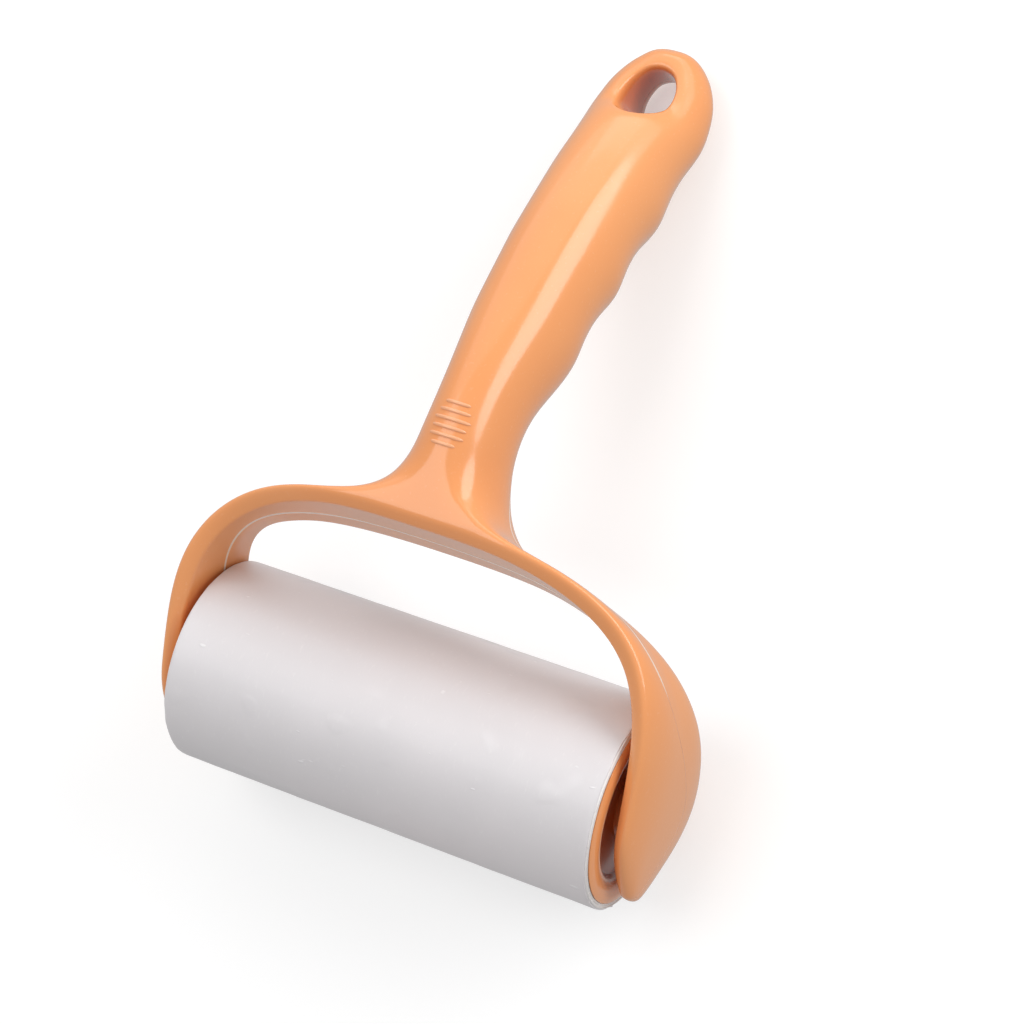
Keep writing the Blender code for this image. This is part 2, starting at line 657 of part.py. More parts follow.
def outer_sheet():
    """The sheet in use: one turn round the roll, with a narrow gap at its free edge."""
    work = bmesh.new()
    sides = 72
    gap_angle = SHEET_LAP_GAP / ROLL_RADIUS
    angle = SHEET_EDGE_ANGLE + np.linspace(gap_angle / 2, 2 * math.pi - gap_angle / 2, sides + 1)
    half = ROLL_LENGTH / 2
    inner = ROLL_RADIUS - SHEET_THICKNESS
    rows = []
    for t in angle:
        corners = ((-half, inner), (half, inner), (half, ROLL_RADIUS), (-half, ROLL_RADIUS))
        rows.append([work.verts.new((x, r * math.cos(t), r * math.sin(t))) for x, r in corners])
    for first, second in zip(rows[:-1], rows[1:]):
        for k in range(4):
            work.faces.new((first[k], first[(k + 1) % 4], second[(k + 1) % 4], second[k]))
    work.faces.new(rows[0])
    work.faces.new(rows[-1])
    bmesh.ops.recalc_face_normals(work, faces=work.faces)
    data = bpy.data.meshes.new("outer_sheet")
    work.to_mesh(data)
    work.free()
    data.shade_smooth()
    data.set_sharp_from_angle(angle=math.radians(35))
    obj = add_object("outer_sheet", data)
    obj.location = (0, AXLE_Y, ROLL_RADIUS)
    return obj


def roll():
    """Everything that turns: end caps, core, wound paper and the sheet in use."""
    made = [end_cap("left", -1), end_cap("right", 1)]
    core_outer = CORE_BORE / 2 + CORE_WALL
    made.append(tube("paper_core", CORE_BORE / 2, core_outer, ROLL_LENGTH, 64))
    paper_outer = ROLL_RADIUS - SHEET_THICKNESS - GAP
    made.append(tube("adhesive_paper_roll", core_outer + GAP, paper_outer, ROLL_LENGTH, 72))
    made.append(outer_sheet())
    return made


def main():
    for old in list(bpy.data.objects):
        bpy.data.objects.remove(old)
    front, rear = shells(body_skin())
    axles = [stub_axle("left", -1), stub_axle("right", 1)]
    left_cap, right_cap, core, paper, sheet = roll()
    for obj in (front, rear, left_cap, right_cap):
        paint(obj, f"{obj.name} plastic", ORANGE, 0.28)
    for obj in axles:
        paint(obj, f"{obj.name} plastic", NATURAL, 0.35)
    paint(core, "core board", BOARD, 0.85)
    for obj in (paper, sheet):
        paint(obj, f"{obj.name} paper", PAPER, 0.45)


main()
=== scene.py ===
"""Lint roller, finished look: moulded handle shells, thumb ribs, stub axles, end caps and roll of paper.

Sizes are in metres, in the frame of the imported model: X along the roll, Y towards the handle's tip, Z up.
"""

import math

import bmesh
import bpy
import numpy as np
from bpy.props import FloatProperty, FloatVectorProperty, IntProperty, PointerProperty
from mathutils import Euler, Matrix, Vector


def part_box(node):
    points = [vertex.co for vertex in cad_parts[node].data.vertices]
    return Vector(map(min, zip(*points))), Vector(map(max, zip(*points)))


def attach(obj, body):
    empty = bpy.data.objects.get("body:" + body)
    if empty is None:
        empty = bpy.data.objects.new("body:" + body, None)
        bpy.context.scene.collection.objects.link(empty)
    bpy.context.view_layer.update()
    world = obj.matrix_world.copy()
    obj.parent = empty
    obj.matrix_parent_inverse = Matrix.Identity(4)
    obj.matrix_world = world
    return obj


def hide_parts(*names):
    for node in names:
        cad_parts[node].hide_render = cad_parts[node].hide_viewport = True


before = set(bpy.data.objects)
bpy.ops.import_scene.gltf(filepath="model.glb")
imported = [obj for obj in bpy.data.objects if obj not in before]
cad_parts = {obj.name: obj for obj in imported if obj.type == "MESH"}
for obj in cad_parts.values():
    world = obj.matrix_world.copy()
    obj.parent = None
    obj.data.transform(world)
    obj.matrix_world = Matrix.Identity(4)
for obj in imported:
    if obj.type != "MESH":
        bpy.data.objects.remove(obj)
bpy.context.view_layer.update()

bl_info = {
    "name": "Lint Roller",
    "version": (1, 0, 0),
    "blender": (4, 5, 0),
    "location": "3D View > Sidebar > Lint Roller",
    "description": "Builds the finished surfaces and materials of a hand lint roller",
    "category": "Add Mesh",
}

MM = 0.001

# The roll's axis and size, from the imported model
SHEET_LOW, SHEET_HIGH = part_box("outer_sheet")
CORE_LOW, CORE_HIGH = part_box("paper_core")
CAP_LOW, CAP_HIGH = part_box("right_end_cap")
PIN_LOW, PIN_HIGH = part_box("right_stub_axle")
AXLE_Y = (SHEET_LOW.y + SHEET_HIGH.y) / 2
AXLE_Z = (SHEET_LOW.z + SHEET_HIGH.z) / 2
ROLL_RADIUS = (SHEET_HIGH.z - SHEET_LOW.z) / 2
ROLL_LENGTH = SHEET_HIGH.x - SHEET_LOW.x
CORE_OUTER = (CORE_HIGH.z - CORE_LOW.z) / 2
CAP_RADIUS = (CAP_HIGH.z - CAP_LOW.z) / 2
CAP_FACE_X = CAP_HIGH.x
CAP_DEEP_X = CAP_LOW.x
AXLE_RADIUS = (PIN_HIGH.z - PIN_LOW.z) / 2

# Caps, whose rims cover the core's ends, and paper
CAP_SEAT_X = ROLL_LENGTH / 2 + 0.05 * MM
CAP_RIM_X = CAP_SEAT_X + 0.75 * MM
CORNER_STEPS = 6
PAPER_END_X = ROLL_LENGTH / 2 + 0.2 * MM
PAPER_LAYER = 0.22 * MM
SHEET_START = math.radians(200)
SHEET_GAP = 0.6 * MM
LIFTED_TURN = math.radians(9)

# Yoke: an arch whose inner line is a superellipse; below, y runs from the axle
YOKE_HALF_SPAN = 53.2 * MM
YOKE_RISE = 38.6 * MM
YOKE_EXPONENT = 3.15
LEAF_DROP = 18.2 * MM
STRAP_THICKNESS = 3.1 * MM
LEAF_THICKNESS = 4.6 * MM
STRAP_DRAFT = 0.10
YOKE_LEAN = 0.069
CORNER_RELIEF = 2.4 * MM
EDGE_BULGE = 0.6 * MM
LEAF_END_ROUND = 0.9 * MM
YOKE_STATIONS = (0.0, 0.2, 0.36, 0.50, 0.62, 0.74, 0.84, 0.93, 1.0)
FRONT_EDGE = np.array([58.8, 58.7, 54.3, 49.4, 47.1, 43.2, 39.4, 35.5, 24.3]) * MM
REAR_EDGE = np.array([38.4, 38.8, 40.4, 33.6, 17.5, 5.7, 6.2, 11.5, 16.3]) * MM
SECTION_ACROSS = np.array([0, 0, 0, 0.25, 0.5, 0.75, 1, 1, 1, 0.75, 0.5, 0.25])
SECTION_OUT = np.array([0, 0.5, 0.95, 1.0, 1.0, 1.0, 0.82, 0.45, 0, 0, 0, 0])
LEAF_SECTION_OUT = np.array([0, 0.34, 0.68, 1.0, 1.02, 1.0, 0.82, 0.45, 0, 0, 0, 0])
SECTION_BULGE = np.array([2.8, 0.1, 0, 0, 0, 0, 0, 1, 0, 0, 0, 0])
ARCH_STEPS = 400
DROP_STEPS = 60
YOKE_FACES = 26
SECTION_FACES = 12
SIDE_FACES = 6
FLANK_FACES = 4

# Handle: distance from the axle, height of the centre line, half width, half depth
SPINE_Y = np.array([52.0, 58.0, 66.0, 86.0, 111.0, 130.0, 141.0, 150.0, 157.5]) * MM
SPINE_Z = np.array([45.9, 46.1, 44.6, 36.7, 25.2, 14.4, 9.2, 7.1, 5.9]) * MM
HALF_WIDTH = np.array([10.8, 10.0, 9.9, 12.1, 13.3, 13.6, 13.5, 11.2, 4.4]) * MM
HALF_DEPTH = np.array([12.6, 12.8, 12.9, 14.1, 14.0, 13.2, 10.4, 7.6, 4.3]) * MM
NECK_Y = 55.0 * MM
NECK_RINGS_Y = np.array([59.0, 65.0, 72.0, 79.0]) * MM
RING_SWELL = 1.016
GROOVE_FIRST_Y = 85.2 * MM
GROOVE_PITCH = 17.7 * MM
GROOVE_COUNT = 3
GROOVE_WRAP = 0.55
GROOVE_SIDE_SHARE = 0.7
RUN_IN_SHARE = 0.8
TIP_Y = 157.0 * MM
TIP_RING_Y = TIP_Y - 2.0 * MM
TIP_DOME = 2.5 * MM
TIP_SHOULDER_Y = 153.5 * MM
HOLE_Y = 144.6 * MM
HOLE_HALF_LENGTH = 6.9 * MM
HOLE_HALF_WIDTH = 5.4 * MM
HOLE_MOUTH_RIM = 1.5 * MM
HOLE_MOUTH_DEPTH = 1.2 * MM
HOLE_RINGS = np.array([-0.33, 0.36])
HOLE_REACH = 1.15
# Painted shade down the hang hole: the depth where it starts and the depth over which it grows
HOLLOW_SHADE_START = 0.6 * MM
HOLLOW_SHADE_RUN = 4 * MM
BEYOND_HOLE_Y = 151.6 * MM
RIB_ROWS_Y = (57.6 + 1.76 * np.arange(6)) * MM
RIB_HALF_LENGTHS = np.array([2.8, 3.9, 3.9, 4.2, 3.6, 2.9]) * MM
RIB_HEIGHT_SHARE = 0.6
RIB_SUNK = 0.03 * MM

# Front facets: angles off the top of a ring's points, even and drawn together
EVEN_ANGLES = (0, 30, 45, 67.5, 90, 180)
FACET_ANGLES = (0, 22, 42, 66, 90, 180)
FACET_FADE = 26 * MM

# Flare from the strap to the neck: how its lines leave the strap and arrive at the neck
FLARE_RINGS = 2
FLARE_INWARDS = 18 * MM
FLARE_UPWARDS = 12 * MM
FLARE_ARRIVAL = 21 * MM

# Parting line of the two shells in the side view, and how much it fades on the leaves
PARTING_Y = np.array([-40, -16, -11, -4, 3, 10, 18, 25, 33, 41,
                      50, 57, 66, 86, 111, 130, 141, 150, 170]) * MM
PARTING_Z = np.array([21.6, 20.0, 17.4, 14.9, 15.9, 22.9, 32.7, 39.6, 45.0, 46.8,
                      42.2, 38.2, 35.0, 27.2, 16.1, 7.5, 4.2, 3.6, 3.4]) * MM
LEAF_SEAM_FADE = 0.34
FEWEST_FACES = 1000

# Painted shade of the plastic in a hollow (the hang hole, the caps' recesses), as shares of its darker
# clouding colour
HOLLOW_SHADE_TONE = (0.66, 0.40, 0.30)

# Stage: lights as name, shape, place, aim, width, height and power, then the camera
LIGHTS = (
    ("strip_light", "ELLIPSE", (0.80, 0.73, 0.52), (0.0, 0.04, 0.03), 1.25, 0.62, 8.4),
    ("ceiling_light", "RECTANGLE", (-0.62, 0.12, 1.5), (0.0, 0.0, 0.0), 1.1, 1.1, 8.2),
    ("back_light", "RECTANGLE", (-0.9, 1.8, 1.0), (0.0, 0.0, 0.02), 3.0, 2.2, 13.5),
    ("low_fill", "RECTANGLE", (0.1, 1.5, 0.3), (0.0, -0.05, 0.03), 1.8, 0.5, 3.2),
)
SURROUND_STRENGTH = 0.52
SWEEP_HEIGHT = 2.6
FLOOR_BELOW = 0.05 * MM
CAMERA_PLACE = (0.24053, -0.03474, 0.57719)
CAMERA_TURN = (9.205, 21.352, 19.857)
FOCAL_LENGTH = 100.0
SENSOR_WIDTH = 36.0


# ---- sizes and colours


def length(name, description, default):
    """A length that a maker may change, zero or more."""
    return FloatProperty(name=name, description=description, default=default, min=0.0, unit="LENGTH")


def tone(name, description, default):
    """A colour that a maker may change."""
    return FloatVectorProperty(
        name=name, description=description, default=default, size=3, min=0.0, max=1.0, subtype="COLOR")


class LintRollerSizes(bpy.types.PropertyGroup):
    """Sizes a maker would change."""

    groove_depth: length("Finger groove depth", "Depth of the finger grooves on the handle's back", 2.1 * MM)
    seam_gap: length("Seam gap", "Gap between the two handle shells", 0.12 * MM)
    rib_radius: length("Rib half width", "Half width of each thumb rib", 0.38 * MM)
    smoothing: IntProperty(
        name="Handle smoothing", description="Subdivision level of the handle's surface", default=3,
        min=1, max=4)
    wrinkle: length("Paper wrinkle", "Depth of the shallow wrinkles in the outer sheet", 0.10 * MM)
    edge_lift: length("Free edge lift", "How far the outer sheet's free edge stands off the roll", 0.5 * MM)


class LintRollerColours(bpy.types.PropertyGroup):
    """Colours a maker would change."""

    plastic: tone("Handle plastic", "Colour of the glossy handle and end caps", (0.85, 0.35, 0.13))
    plastic_deep: tone("Deep plastic", "Deeper tone that clouds the handle plastic", (0.83, 0.32, 0.113))
    # pale tone of the seam line, part moulding flash and part a painted glint, also used for the ribs'
    # painted highlight
    flash_and_glint: tone("Seam", "Pale tone of the moulded seam line", (1.0, 0.84, 0.70))
    paper: tone("Paper", "Colour of the adhesive paper", (0.74, 0.712, 0.727))
    paper_edge: tone("Paper edge", "Colour of the cut edges of the wound paper", (0.88, 0.86, 0.85))
    board: tone("Core board", "Colour of the cardboard core", (0.42, 0.30, 0.19))
    natural: tone("Axle plastic", "Colour of the stub axles", (0.80, 0.77, 0.70))
    floor: tone("Floor", "Colour of the studio floor", (0.62, 0.62, 0.62))


# ---- shader maths


class Signal:
    """One output socket of a material; arithmetic on it adds Math nodes."""

    def __init__(self, graph, socket):
        self.graph = graph
        self.socket = socket

    def maths(self, operation, first, second=None):
        """Math node on one or two numbers."""
        inputs = {0: first} if second is None else {0: first, 1: second}
        return self.graph.add("ShaderNodeMath", {"operation": operation}, inputs)

    def __add__(self, other):
        return self.maths("ADD", self, other)

    __radd__ = __add__

    def __mul__(self, other):
        return self.maths("MULTIPLY", self, other)

    __rmul__ = __mul__

    def __sub__(self, other):
        return self.maths("SUBTRACT", self, other)

    def __rsub__(self, other):
        return self.maths("SUBTRACT", other, self)

    def wave(self):
        """Sine of the value."""
        return self.maths("SINE", self)

    def step(self, low, high):
        """Smooth step from 0 at low to 1 at high."""
        settings = {"interpolation_type": "SMOOTHSTEP"}
        inputs = {"Value": self, "From Min": low, "From Max": high}
        return self.graph.add("ShaderNodeMapRange", settings, inputs)


class Finish:
    """One material: a Principled shader and the nodes that feed it."""

    def __init__(self, name, constants):
        self.material = bpy.data.materials.new(name)
        self.material.use_nodes = True
        self.tree = self.material.node_tree
        self.shader = self.tree.nodes["Principled BSDF"]
        for socket, value in constants.items():
            self.shader.inputs[socket].default_value = value

    def add(self, kind, settings=None, inputs=None, output=0):
        """Adds a node: its settings are set first, then its sockets get their values or links."""
        node = self.tree.nodes.new(kind)
        for name, value in (settings or {}).items():
            setattr(node, name, value)
        for name, value in (inputs or {}).items():
            self._feed(node.inputs[name], value)
        return Signal(self, node.outputs[output])

    def _feed(self, socket, value):
        if isinstance(value, Signal):
            self.tree.links.new(value.socket, socket)
        else:
            socket.default_value = value

    def feed(self, socket, value):
        """Links or sets a socket of the Principled shader."""
        self._feed(self.shader.inputs[socket], value)

    def place(self, scale=(1.0, 1.0, 1.0), centre=(0.0, 0.0, 0.0)):
        """Object coordinates, moved so that centre is the origin, and scaled."""
        where = self.add("ShaderNodeTexCoord", output=3)
        moved = tuple(-s * c for s, c in zip(scale, centre))
        return self.add("ShaderNodeMapping", {}, {"Vector": where, "Location": moved, "Scale": scale})

    def attribute(self, name):
        """Number kept on the mesh under a name, 0 where the mesh has none."""
        return self.add("ShaderNodeAttribute", {"attribute_name": name}, output=2)

    def noise(self, vector, scale, detail=2.0, roughness=0.5):
        """Cloudy noise from 0 to 1, about scale patches to the metre."""
        inputs = {"Vector": vector, "Scale": scale, "Detail": detail, "Roughness": roughness}
        return self.add("ShaderNodeTexNoise", {}, inputs)

    def mix(self, factor, first, second):
        """Mix of two colours by a factor."""
        inputs = {0: factor, 6: _rgba(first), 7: _rgba(second)}
        return self.add("ShaderNodeMix", {"data_type": "RGBA"}, inputs, output=2)

    def bump(self, height, strength, distance, normal=None):
        """Normal tilted by the slope of a height of up to distance metres, on top of another."""
        inputs = {"Height": height, "Strength": strength, "Distance": distance}
        if normal is not None:
            inputs["Normal"] = normal
        return self.add("ShaderNodeBump", {}, inputs)


def _rgba(colour):
    """Colour with an alpha of 1, or the signal as it is."""
    return colour if isinstance(colour, Signal) else (*tuple(colour)[:3], 1.0)


def moulded_plastic(name, colours, seamed, painted_highlight=0.0):
    """Glossy plastic: faint clouding, a fine moulded grain, soft smudges in the gloss, painted shade in
    hollows.

    The mesh's number "hollow" darkens it with painted shade, "seam" draws the pale parting line if seamed,
    part moulding flash and part a painted glint on the shells' edges, and the last argument, from 0
    to 1, pales the whole piece as a painted highlight.
    """
    finish = Finish(name, {"IOR": 1.47, "Coat Weight": 0.35, "Coat Roughness": 0.10})
    where = finish.place()
    clouds = finish.noise(where, 22.0, 3.0).step(0.3, 0.7)
    colour = finish.mix(clouds, colours.plastic_deep, colours.plastic)
    # painted highlight: the whole piece is paled towards the seam's pale tone
    colour = finish.mix(painted_highlight, colour, colours.flash_and_glint)
    speckle = finish.noise(where, 1400.0, 1.0).step(0.62, 0.8)
    colour = finish.mix(speckle * 0.05, colour, (1.0, 0.8, 0.62))
    grain = finish.noise(where, 900.0, 2.0)
    ripple = finish.noise(where, 60.0, 1.0)
    smudge = finish.noise(where, 45.0, 4.0, 0.6).step(0.35, 0.75)
    finish.feed("Roughness", 0.17 + smudge * 0.09)
    if seamed:
        # pale parting line: part moulding flash, part a painted glint on the shells' rounded edges
        line = 1.0 - finish.attribute("seam").step(0.16, 0.48)
        colour = finish.mix(line * 0.95, colour, colours.flash_and_glint)
    # painted shade: the plastic darkens towards a deeper tone inside the hang hole and the caps' recesses
    hollow_shade = tuple(c * tone for c, tone in zip(colours.plastic_deep, HOLLOW_SHADE_TONE))
    colour = finish.mix(finish.attribute("hollow") * 0.9, colour, hollow_shade)
    finish.feed("Base Color", colour)
    normal = finish.bump(ripple, 0.10, 0.0006)
    finish.feed("Normal", finish.bump(grain, 0.06, 0.00015, normal))
    return finish.material


def adhesive_paper(name, colours):
    """Sticky paper: cloudy white, faint fibres, stretched ripples round the roll, small glossy bubbles,
    painted glint specks.
    """
    finish = Finish(name, {"IOR": 1.45, "Coat Roughness": 0.22})
    where = finish.place(centre=(0.0, AXLE_Y, AXLE_Z))
    long_way = finish.place(scale=(1.0, 0.35, 0.35), centre=(0.0, AXLE_Y, AXLE_Z))
    clouds = finish.noise(where, 28.0, 3.0).step(0.3, 0.72)
    tint = tuple(0.955 * c for c in colours.paper)
    colour = finish.mix(clouds, tint, colours.paper)
    fibres = finish.noise(finish.place(scale=(2.6, 1.0, 1.0)), 520.0, 3.0, 0.6)
    colour = finish.mix(fibres.step(0.55, 0.85) * 0.22, colour, (0.90, 0.88, 0.87))
    blush = finish.noise(where, 14.0, 2.0).step(0.42, 0.75)
    colour = finish.mix(blush * 0.5, colour, (0.76, 0.69, 0.70))
    # small pale specks: painted glints of tiny glossy wrinkles, also bumped
    glint_specks = finish.noise(finish.place(scale=(0.45, 1.2, 1.2)), 480.0, 1.0).step(0.76, 0.81)
    colour = finish.mix(glint_specks * 0.5, colour, (0.93, 0.92, 0.93))
    finish.feed("Base Color", colour)
    ripples = finish.noise(long_way, 85.0, 2.0)
    bubbles = finish.noise(where, 150.0, 0.0).step(0.66, 0.80)
    finish.feed("Roughness", 0.46 - bubbles * 0.16 + fibres * 0.10)
    finish.feed("Coat Weight", 0.24 + bubbles * 0.3)
    normal = finish.bump(ripples, 0.30, 0.0009)
    normal = finish.bump(bubbles, 0.25, 0.0002, normal)
    normal = finish.bump(glint_specks, 0.4, 0.0002, normal)
    finish.feed("Normal", finish.bump(fibres, 0.16, 0.0001, normal))
    return finish.material


def wound_edges(name, colours):
    """Cut edges of many paper layers: rings by distance from the axis, broken up by noise."""
    finish = Finish(name, {"Coat Weight": 0.0, "IOR": 1.45})
    where = finish.place(centre=(0.0, AXLE_Y, AXLE_Z))
    flat = finish.add("ShaderNodeVectorMath", {"operation": "MULTIPLY"}, {0: where, 1: (0.0, 1.0, 1.0)})
    radius = finish.add("ShaderNodeVectorMath", {"operation": "LENGTH"}, {0: flat}, output=1)
    wobble = finish.noise(where, 60.0, 2.0) * 0.0004
    rings = ((radius + wobble) * (2 * math.pi / PAPER_LAYER)).wave() * 0.5 + 0.5
    patches = finish.noise(where, 420.0, 3.0, 0.65)
    colour = finish.mix(rings * 0.35, colours.paper_edge, (0.66, 0.62, 0.60))
    colour = finish.mix(patches.step(0.5, 0.8) * 0.3, colour, (0.97, 0.96, 0.95))
    finish.feed("Base Color", colour)
    finish.feed("Roughness", 0.62 + patches * 0.2)
    normal = finish.bump(rings, 0.30, 0.0001)
    finish.feed("Normal", finish.bump(patches, 0.5, 0.0003, normal))
    return finish.material


def core_board(name, colours):
    """Cardboard: brown with short fibres along the winding and soft dark flecks."""
    finish = Finish(name, {"Coat Weight": 0.0})
    where = finish.place()
    fibres = finish.noise(finish.place(scale=(0.35, 1.6, 1.6)), 900.0, 3.0, 0.6)
    flecks = finish.noise(where, 700.0, 1.0).step(0.66, 0.74)
    pale = tuple(min(1.0, 1.35 * c) for c in colours.board)
    colour = finish.mix(fibres.step(0.3, 0.75), colours.board, pale)
    finish.feed("Base Color", finish.mix(flecks * 0.4, colour, (0.16, 0.11, 0.07)))
    finish.feed("Roughness", 0.78 + fibres * 0.15)
    finish.feed("Normal", finish.bump(fibres, 0.4, 0.0002))
    return finish.material


def axle_plastic(name, colours):
    """Uncoloured plastic: milky, with turned-looking rings where the axle rubs."""
    finish = Finish(name, {"IOR": 1.49, "Coat Weight": 0.1, "Coat Roughness": 0.2})
    where = finish.place()
    clouds = finish.noise(where, 160.0, 2.0)
    rub = finish.noise(finish.place(scale=(9.0, 0.4, 0.4)), 500.0, 1.0)
    dim = tuple(0.86 * c for c in colours.natural)
    finish.feed("Base Color", finish.mix(clouds.step(0.35, 0.65), colours.natural, dim))
    finish.feed("Roughness", 0.30 + rub * 0.18)
    finish.feed("Normal", finish.bump(rub, 0.12, 0.0001))
    return finish.material


def studio_floor(name, colours):
    """Pale matt floor with a barely visible mottle."""
    glow = {"Emission Color": (1.0, 1.0, 1.0, 1.0), "Emission Strength": 0.45}
    finish = Finish(name, {"Coat Weight": 0.0, "Specular IOR Level": 0.2, **glow})
    where = finish.place()
    mottle = finish.noise(where, 9.0, 3.0)
    dim = tuple(0.985 * c for c in colours.floor)
    finish.feed("Base Color", finish.mix(mottle, dim, colours.floor))
    finish.feed("Roughness", 0.80 + mottle * 0.1)
    return finish.material


# ---- mesh helpers


def smooth_step(value):
    """Smooth rise from 0 at 0 to 1 at 1: three squares less two cubes."""
    value = np.clip(value, 0.0, 1.0)
    return value * value * (3 - 2 * value)


def hermite(u):
    """Weights of a cubic Hermite piece at u: of its start, start slope, end and end slope."""
    return 2 * u**3 - 3 * u**2 + 1, u**3 - 2 * u**2 + u, 3 * u**2 - 2 * u**3, u**3 - u**2


def through(knots, values, at):
    """Smooth curve through the knots: cubic Hermite pieces whose slopes are central differences."""
    knots = np.asarray(knots, float)
    values = np.asarray(values, float)
    at = np.clip(np.asarray(at, float), knots[0], knots[-1])
    slopes = np.gradient(values, knots)
    k = np.clip(np.searchsorted(knots, at, side="right") - 1, 0, len(knots) - 2)
    span = knots[k + 1] - knots[k]
    start, leave, end, arrive = hermite((at - knots[k]) / span)
    return start * values[k] + leave * span * slopes[k] + end * values[k + 1] + arrive * span * slopes[k + 1]


def ripple_field(u, v, seed, terms=9, reach=6):
    """Sum of sine waves over two angles, each with its own whole paces, size and phase, from 0 to 1."""
    draw = np.random.default_rng(seed)
    paces = draw.integers(1, reach + 1, (terms, 2))
    phases = draw.uniform(0, 2 * math.pi, terms)
    sizes = 1.0 / np.hypot(*paces.T)
    turns = paces[:, 0, None, None] * u + paces[:, 1, None, None] * v + phases[:, None, None]
    total = (sizes[:, None, None] * np.sin(turns)).sum(0)
    return (total - total.min()) / (total.max() - total.min())


def cells(index):
    """Corner numbers of the four-sided faces between the neighbours in a grid of point numbers."""
    corners = [index[:-1, :-1], index[1:, :-1], index[1:, 1:], index[:-1, 1:]]
    return np.stack(corners, axis=-1).reshape(-1, 4)


def grid_faces(rows, columns, wrap_rows=False, wrap_columns=False, first=0):
    """Corner numbers of the four-sided faces of a grid of points, closed on itself where asked."""
    index = first + np.arange(rows * columns).reshape(rows, columns)
    if wrap_rows:
        index = np.concatenate([index, index[:1]], axis=0)
    if wrap_columns:
        index = np.concatenate([index, index[:, :1]], axis=1)
    return cells(index)


def make_mesh(name, points, quads, fans=()):
    """Mesh from points, four-sided faces and end faces, its normals made to point outwards."""
    data = bpy.data.meshes.new(name)
    faces = np.asarray(quads).tolist() + list(fans)
    data.from_pydata(np.asarray(points, float).reshape(-1, 3).tolist(), [], faces)
    outward(data)
    return data


def outward(data):
    """Merges doubled points and turns the normals outwards."""
    work = bmesh.new()
    work.from_mesh(data)
    bmesh.ops.remove_doubles(work, verts=work.verts, dist=1e-7)
    bmesh.ops.recalc_face_normals(work, faces=work.faces)
    work.to_mesh(data)
    work.free()
    data.shade_smooth()


def piece(name, data, material, body, replaced=(), sharp=35.0):
    """Adds a finished piece: in its material, on its body, standing for the nodes it replaces."""
    data.materials.clear()
    data.materials.append(material)
    data.set_sharp_from_angle(angle=math.radians(sharp))
    obj = linked(name, data)
    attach(obj, body)
    if replaced:
        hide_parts(*replaced)


def coordinates(data):
    """The mesh's points as an array."""
    flat = np.zeros(3 * len(data.vertices))
    data.vertices.foreach_get("co", flat)
    return flat.reshape(-1, 3)


def store(data, name, values):
    """Keeps one number per point on the mesh, under a name."""
    data.attributes.new(name, "FLOAT", "POINT").data.foreach_set("value", values.astype(np.float32))


def round_axle(x, radius, angle):
    """Points at a radius and an angle about the roll's axis, x along it."""
    y = AXLE_Y + radius * np.cos(angle)
    z = AXLE_Z + radius * np.sin(angle)
    return np.stack(np.broadcast_arrays(x, y, z), axis=-1)


def linked(name, data):
    """New object of the data, in the scene."""
    obj = bpy.data.objects.new(name, data)
    bpy.context.scene.collection.objects.link(obj)
    return obj


def softened(corners, radii, steps):
    """Outline with each corner replaced by a quadratic curve that starts and ends a radius away from it."""
    corners = np.asarray(corners, float)
    radii = np.asarray(radii, float)[:, None]
    before = np.roll(corners, 1, axis=0) - corners
    after = np.roll(corners, -1, axis=0) - corners
    start = corners + radii * before / np.linalg.norm(before, axis=1, keepdims=True)
    end = corners + radii * after / np.linalg.norm(after, axis=1, keepdims=True)
    t = np.linspace(0, 1, steps)[None, :, None]
    curve = (1 - t) ** 2 * start[:, None] + 2 * t * (1 - t) * corners[:, None] + t**2 * end[:, None]
    return curve.reshape(-1, 2)


# ---- handle skin


def arch(count):
    """Inner line of the arch, a superellipse that runs on straight down each leaf, with outward normals."""
    angle = np.linspace(math.pi / 2, 0.0, ARCH_STEPS)
    x = YOKE_HALF_SPAN * np.cos(angle).clip(0) ** (2 / YOKE_EXPONENT)
    y = YOKE_RISE * np.sin(angle).clip(0) ** (2 / YOKE_EXPONENT)
    drop = np.linspace(0, LEAF_DROP, DROP_STEPS)[1:]
    x = np.append(x, np.full_like(drop, YOKE_HALF_SPAN))
    y = np.append(y, -drop)
    run = np.append(0, np.cumsum(np.hypot(np.diff(x), np.diff(y))))
    run /= run[-1]
    q = np.linspace(-1, 1, count + 1)
    px = np.interp(abs(q), run, x) * np.where(q < 0, -1, 1)
    py = np.interp(abs(q), run, y)
    tx = np.gradient(px)
    ty = np.gradient(py)
    size = np.hypot(tx, ty)
    return q, px, py, -ty / size, tx / size


